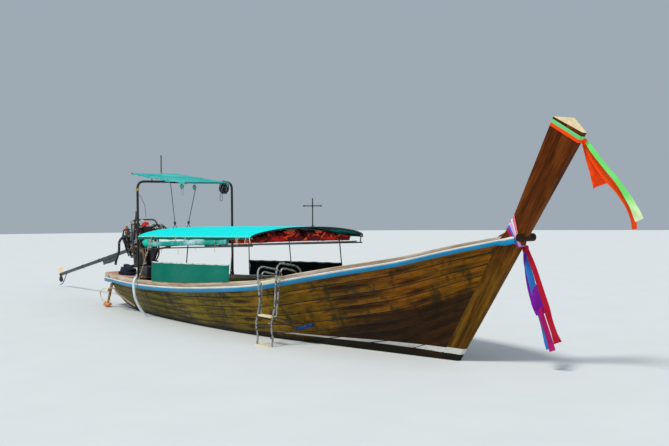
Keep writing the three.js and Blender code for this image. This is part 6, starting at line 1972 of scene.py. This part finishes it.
        # A cream hose from the bottle over the head: a painted highlight.
        bottle.tube(smooth_path([(-0.375, -0.19, 0.398), (-0.372, -0.175, 0.425), (-0.33, -0.13, 0.43),
            (-0.285, -0.098, 0.395), (-0.255, -0.08, 0.335)], 20), 0.006, 10, 3)
        bottle.moved(ENGINE).build("bottle", "engine", "air_bottle",
            ["rust_paint", "black_paint", "greasy_iron", "cream_plastic"], ("air_bottle",))
        exhaust = Shape()
        run = filleted([(-0.03, -0.1505, 0.06), (-0.03, -0.185, 0.06), (-0.03, -0.195, 0.09), (-0.03, -0.15, 0.4),
            (-0.02, -0.12, 0.52), (-0.02, -0.11, 0.616)], 0.04, 5)
        exhaust.tube(run, 0.0188, 18, bore=0.82)
        exhaust.lathe((-0.03, -0.1502, 0.06), STARBOARD, [(0, 34), (8, 34), (10, 24)], 20)
        exhaust.lathe((-0.0298, -0.1525, 0.38), (0, 0.143, 0.99), [(0, 19), (2, 22.5), (16, 22.5), (18, 19)], 20)
        exhaust.moved(ENGINE).build("exhaust", "engine", "exhaust", "rusty_iron", ("exhaust_pipe",))
        charger = Shape()
        y, z = 0.206, 0.245
        charger.lathe((0.1, y, z), FORE, [(0, 20), (4, 44), (12, 50), (60, 50), (63, 46), (95, 46), (98, 50),
            (145, 50), (158, 40), (165, 24)], 32)
        charger.lathe((0.258, y, z), FORE, [(0, 14), (2, 31), (5, 32), (9, 26), (14, 26), (19, 32), (22, 31),
            (25, 12), (32, 10)], 24, 1)
        for a in circle(12):
            charger.lathe((0.113, y + 0.0485 * math.cos(a), z + 0.0485 * math.sin(a)), FORE, [(0, 3), (130, 3)], 6)
        soft_box(charger, (0.13, 0.1505, 0.15), (0.23, 0.206, 0.2), 0.006, 2)
        charger.moved(ENGINE).build("charger", "engine", "alternator", ["dull_metal", "dull_metal", "engine_iron"],
            ("alternator",), angle=35)
        guard = Shape()
        gx, half, top = 0.06, 0.245, 0.465
        corner = [(gx, 0.1441, -0.352), (gx, half, -0.2), (gx, half, top - 0.09), (gx, half - 0.055, top - 0.015)]
        path = corner + [(gx, -y, z) for _, y, z in reversed(corner)]
        guard.tube(filleted(path, 0.07, 7), 0.0148, 18)
        guard.moved(ENGINE).build("guard_hoop", "engine", "engine_guard", "guard_paint", ("engine_guard",))
        tiller = Shape()
        root = -0.3525
        tiller.tube(filleted([(0.3005, 0, root), (0.4, 0, root), (0.54, 0, -0.2), (0.68, 0, -0.165),
            (1.215, 0, -0.1868)], 0.09, 6), 0.0168, 18)
        tiller.lathe((0.3003, 0, root), FORE, [(0, 36), (10, 36), (13, 24), (40, 21), (42, 17)], 20)
        grip = [(0, 0.018)]
        for n in range(12):
            grip += [(0.006 + 0.014 * n, 0.0225), (0.014 + 0.014 * n, 0.0232), (0.017 + 0.014 * n, 0.0205)]
        grip += [(0.172, 0.0225), (0.1755, 0.01)]
        tiller.turned((1.055, 0, -0.1805), (0.999, 0, -0.04), grip, 20, 1)
        gusset = [(0.292, -0.128), (0.5, -0.138), (0.722, -0.152), (0.64, -0.186), (0.545, -0.238), (0.47, -0.305),
            (0.4, -0.342), (0.292, -0.342)]
        tiller.rings([[vec(x, side * wide, z) for x, z in gusset] for side,
            wide in ((-1, 0.02), (-1, 0.026), (1, 0.026), (1, 0.02))])
        tiller.moved(ENGINE).build("tiller_arm", "engine", "tiller", ["black_paint", "black_rubber"], ("tiller",))
        clutter = Shape()
        # Finish 6, cream, on some of these pipes and caps paints highlights.
        for rows, radius, key in (
            ([(-0.33, -0.16, 0.12), (-0.36, -0.2, 0.16), (-0.33, -0.205, 0.23), (-0.24, -0.16, 0.25),
              (-0.18, -0.11, 0.24)], 0.011, 3),
            ([(0.19, -0.15, 0.12), (0.215, -0.185, 0.16), (0.19, -0.18, 0.24), (0.12, -0.13, 0.29),
              (0.08, -0.096, 0.285)], 0.013, 3),
            ([(-0.1, -0.15, 0.02), (-0.13, -0.185, 0.01), (-0.23, -0.19, 0.02), (-0.3, -0.17, 0.07),
              (-0.33, -0.15, 0.1)], 0.008, 1),
            ([(0.17, 0.02, 0.3), (0.215, 0.03, 0.33), (0.235, 0.06, 0.33), (0.23, 0.12, 0.3),
              (0.2, 0.19, 0.296)], 0.007, 6),
            ([(0.0, -0.078, 0.33), (-0.01, -0.1, 0.38), (0.02, -0.09, 0.43), (0.1, -0.06, 0.44),
              (0.14, -0.02, 0.41)], 0.008, 6),
            ([(-0.18, 0.04, 0.33), (-0.19, 0.05, 0.375), (-0.26, 0.05, 0.385), (-0.35, 0.03, 0.33),
              (-0.38, 0.01, 0.2)], 0.012, 3),
        ):
            clutter.tube(smooth_path(rows, 20), radius, 10, key)
        chance = random.Random(5)
        for n in range(16):
            x = -0.36 + 0.038 * n
            drop = [vec(x, -0.152, 0.16 + 0.03 * math.sin(n)), vec(x + chance.uniform(-0.03, 0.03), -0.176, 0.08),
                vec(x + chance.uniform(-0.06, 0.06), -0.168, -0.02),
                vec(x + chance.uniform(-0.05, 0.08), -0.152, -0.11 - 0.05 * (n % 3))]
            clutter.tube(smooth_path(drop, 12), chance.uniform(0.005, 0.011), 8, (3, 3, 1, 2, 3, 6, 3, 1)[n % 8])
        for n in range(11):
            start = vec(-0.27 - 0.013 * n, -0.155, 0.31 - 0.045 * (n % 4))
            reach = 0.035 + 0.012 * (n % 5)
            clutter.tube(smooth_path([start, start + vec(-0.06, -reach, 0.015),
                start + vec(-0.09, -reach, -0.13 - 0.02 * (n % 3)), start + vec(-0.03, -0.02, -0.3 - 0.04 * (n % 3))],
                14), chance.uniform(0.007, 0.015), 8, (3, 1, 3, 0, 3, 6, 3, 2)[n % 8])
        for n in range(6):
            clutter.lathe((-0.4 + 0.02 * n, -0.185, 0.27 - 0.075 * n), (-0.5, -1, 0.1),
                [(0, 12), (2, 26), (12, 28), (20, 20), (22, 9), (34, 8)], 12, (1, 2, 5, 1)[n % 4])
        for n in range(9):
            place = vec(-0.35 + 0.068 * n, -0.15, (0.1, -0.07, -0.15)[n % 3])
            clutter.lathe(place, STARBOARD, [(0, 20), (16, 20), (18, 14), (30, 13), (32, 8)], 12, (1, 2, 6, 1)[n % 4])
        # A black rim with a pale yellow-green disc facing the camera: the disc is a painted highlight.
        clutter.lathe((0.045, -0.215, 0.395), (0.9, -0.45, 0), [(0, 15), (3, 36), (10, 42), (24, 42), (30, 38)], 28,
            2)
        clutter.lathe((0.0716, -0.2283, 0.395), (0.9, -0.45, 0), [(0, 34), (6, 30), (10, 14)], 24, 7)
        for n in range(6):
            start = vec(0.19 + 0.02 * n, 0.05 + 0.02 * n, 0.25 + 0.012 * n)
            tip = vec(0.3 + 0.028 * n, 0.13 + 0.03 * n, 0.32 - 0.02 * n)
            clutter.tube(smooth_path([start, (start + tip) / 2 + vec(0, 0, 0.05), tip, tip + vec(0.01, 0.01, -0.06)],
                12), 0.0085, 8, (1, 3, 2, 3, 1, 3)[n])
            clutter.lathe(tip, (0.6, 0.7, 0), [(0, 10), (4, 20), (20, 22), (28, 12)], 12, (2, 3, 1, 3, 2, 3)[n])
        soft_box(clutter, (-0.405, -0.215, -0.03), (-0.29, -0.15, 0.12), 0.02, 0)
        soft_box(clutter, (-0.13, -0.2, -0.04), (0.01, -0.15, 0.09), 0.016, 3)
        clutter.lathe((-0.32, -0.15, 0.235), STARBOARD, [(0, 50), (4, 58), (50, 58), (56, 52), (60, 30), (72, 28),
            (74, 10)], 28, 3)
        clutter.lathe((-0.17, -0.15, 0.2), STARBOARD, [(0, 34), (4, 42), (34, 42), (40, 30), (56, 26), (58, 10)], 24,
            1)
        soft_box(clutter, (-0.395, -0.148, 0.2), (-0.29, 0.09, 0.245), 0.014, 0)
        soft_box(clutter, (0.19, -0.08, 0.198), (0.246, 0.08, 0.3), 0.02, 0)
        clutter.lathe((0.218, 0, 0.296), UP, [(0, 30), (10, 32), (30, 30), (36, 20)], 18, 1)
        soft_box(clutter, (-0.2, 0.02, 0.336), (-0.06, 0.09, 0.38), 0.014, 2)
        clutter.moved(ENGINE).build("engine_fittings", "engine", "engine_block", metals, angle=40)
        return {"FINISHED"}


def hull_of(points):
    """The outline round flat points, each with the step outwards that gives a belt its depth."""
    outline = outline_of(points)
    result = []
    for n, p in enumerate(outline):
        way = outline[(n + 1) % len(outline)] - outline[n - 1]
        result.append((p, Vector((way.y, -way.x)).normalized() * 0.007))
    return result


class BOAT_OT_shaft(bpy.types.Operator):
    """Runs the long shaft tube aft with its plate, its guard and the propeller"""
    bl_idname = "longtail.shaft"
    bl_label = "Shaft"

    def execute(self, context):
        tube = Shape()
        rows = [(0.6205, 0.04), (0.626, 0.042), (0.724, 0.042), (0.73, 0.038), (0.75, 0.038), (0.752, 0.035),
            (2.7, 0.035), (2.702, 0.04), (2.73, 0.04), (2.732, 0.035), (3.9, 0.035), (3.902, 0.04), (3.926, 0.04),
            (3.928, 0.035), (5.56, 0.035), (5.58, 0.03), (5.582, 0.018), (5.6545, 0.018)]
        tube.turned((0, 0, 0), AFT, rows, 28)
        plate = []
        for share in spread(0, 1, 9):
            x = between(-2.52, -1.56, share)
            low = -0.118 + 0.004 * math.sin(9 * share)
            taper = (0.05 if share == 0 else 0.0) - (0.06 if share == 1 else 0.0)
            plate.append([vec(x, 0.007, -0.012), vec(x + taper, 0.007, low + 0.006), vec(x + taper, 0.0045, low),
                vec(x + taper, -0.0045, low), vec(x + taper, -0.007, low + 0.006), vec(x, -0.007, -0.012)])
        tube.rings(plate)
        for x in (-2.46, -2.04, -1.62):
            tube.lathe((x - 0.012, 0, 0), FORE, [(0, 35), (1, 38.5), (23, 38.5), (24, 35)], 28, 1)
            soft_box(tube, (x - 0.012, -0.01, -0.06), (x + 0.012, 0.01, -0.02), 0.003, 1)
        end = -5.58
        tube.tube(smooth_path([(end + 0.42, 0, -0.02), (end + 0.3, 0, -0.06), (end + 0.06, 0, -0.19),
            (end - 0.1, 0, -0.228), (end - 0.26, 0, -0.222)], 22), 0.009, 10)
        tube.moved(ENGINE).build("shaft_housing", "engine", "shaft_tube", ["shaft_paint", "greasy_iron"],
            ("shaft_tube",), angle=35)
        bolts = []
        for x in (-0.74, -2.716, -3.914):
            bolts += [(ENGINE @ vec(x, 0.039 * math.cos(a), 0.039 * math.sin(a)),
                ENGINE.to_3x3() @ vec(0, math.cos(a), math.sin(a))) for a in circle(6)]
        bolts += [(ENGINE @ vec(x, side * 0.0065, z), ENGINE.to_3x3() @ vec(0, side, 0)) for side in (-1, 1)
            for x in spread(-2.43, -1.66, 8) for z in (-0.038, -0.1)]
        studs("shaft_bolts", "engine", bolts, 0.0065, 0.005, "greasy_iron", 6)
        screw = Shape()
        screw.lathe((-SHAFT_LENGTH + 0.045, 0, 0), AFT, [(0, 18), (2, 30), (10, 33.5), (70, 34), (80, 30), (87, 20),
            (90, 6)], 28, 1)
        table = [(0.024, 0.026, 40, 0.008), (0.05, 0.042, 33, 0.0068), (0.08, 0.052, 27, 0.006),
            (0.105, 0.0555, 23, 0.0055), (0.13, 0.0545, 20, 0.005), (0.15, 0.046, 18, 0.0042),
            (0.165, 0.034, 17, 0.0036), (0.1745, 0.014, 16, 0.003)]
        for turn, key in ((0.0, 0), (math.pi, 1)):
            rings = []
            for radius, chord, pitch, half in table:
                lean = math.radians(pitch)
                along = vec(math.sin(lean), math.cos(lean), 0)
                thick = vec(math.cos(lean), -math.sin(lean), 0)
                ring = []
                for j in range(20):
                    a = math.tau * j / 20
                    ring.append(vec(0, 0, radius) + along * chord * math.cos(a) + thick * half * math.sin(a) + thick
                        * 0.01 * (1 - math.cos(a) ** 2) * 0.5)
                rings.append(ring)
            spin = Matrix.Rotation(turn, 3, "X")
            screw.rings([[spin @ p + vec(-SHAFT_LENGTH, 0, 0) for p in ring] for ring in rings], finish=key)
        screw.moved(ENGINE).build("propeller_blades", "propeller", "propeller", ["beige_blade", "dark_blade"],
            ("propeller",), angle=50)
        return {"FINISHED"}


SETTINGS = {"longtail_hull": HullSettings, "longtail_fabric": FabricSettings, "longtail_machine": MachineSettings}
CLASSES = (*SETTINGS.values(), BOAT_OT_camera, BOAT_OT_hoses, BOAT_OT_stage, BOAT_OT_planking, BOAT_OT_rails,
    BOAT_OT_timbers, BOAT_OT_plugs, BOAT_OT_canopy, BOAT_OT_curtains, BOAT_OT_rolled_cloth, BOAT_OT_life_jackets,
    BOAT_OT_roof, BOAT_OT_mast, BOAT_OT_ladder, BOAT_OT_ribbons, BOAT_OT_stern_gear, BOAT_OT_engine, BOAT_OT_shaft)
STEPS = [kind.bl_idname for kind in CLASSES if issubclass(kind, bpy.types.Operator)]


class BOAT_PT_panel(bpy.types.Panel):
    """Lists the pieces of the boat"""
    bl_idname = "BOAT_PT_panel"
    bl_label = "Longtail Boat"
    bl_space_type = "VIEW_3D"
    bl_region_type = "UI"
    bl_category = "Longtail Boat"

    def draw(self, context):
        for name, kind in SETTINGS.items():
            for key in kind.__annotations__:
                self.layout.prop(getattr(context.scene, name), key)
        for step in STEPS:
            self.layout.operator(step)


def register():
    for kind in (*CLASSES, BOAT_PT_panel):
        bpy.utils.register_class(kind)
    for name, kind in SETTINGS.items():
        setattr(bpy.types.Scene, name, bpy.props.PointerProperty(type=kind))


def unregister():
    for name in SETTINGS:
        delattr(bpy.types.Scene, name)
    for kind in reversed((*CLASSES, BOAT_PT_panel)):
        bpy.utils.unregister_class(kind)


def main():
    register()
    scene = bpy.context.scene
    make_finishes(scene.longtail_hull, scene.longtail_fabric, scene.longtail_machine)
    for step in STEPS:
        group, name = step.split(".")
        getattr(getattr(bpy.ops, group), name)()


if __name__ == "__main__":
    main()
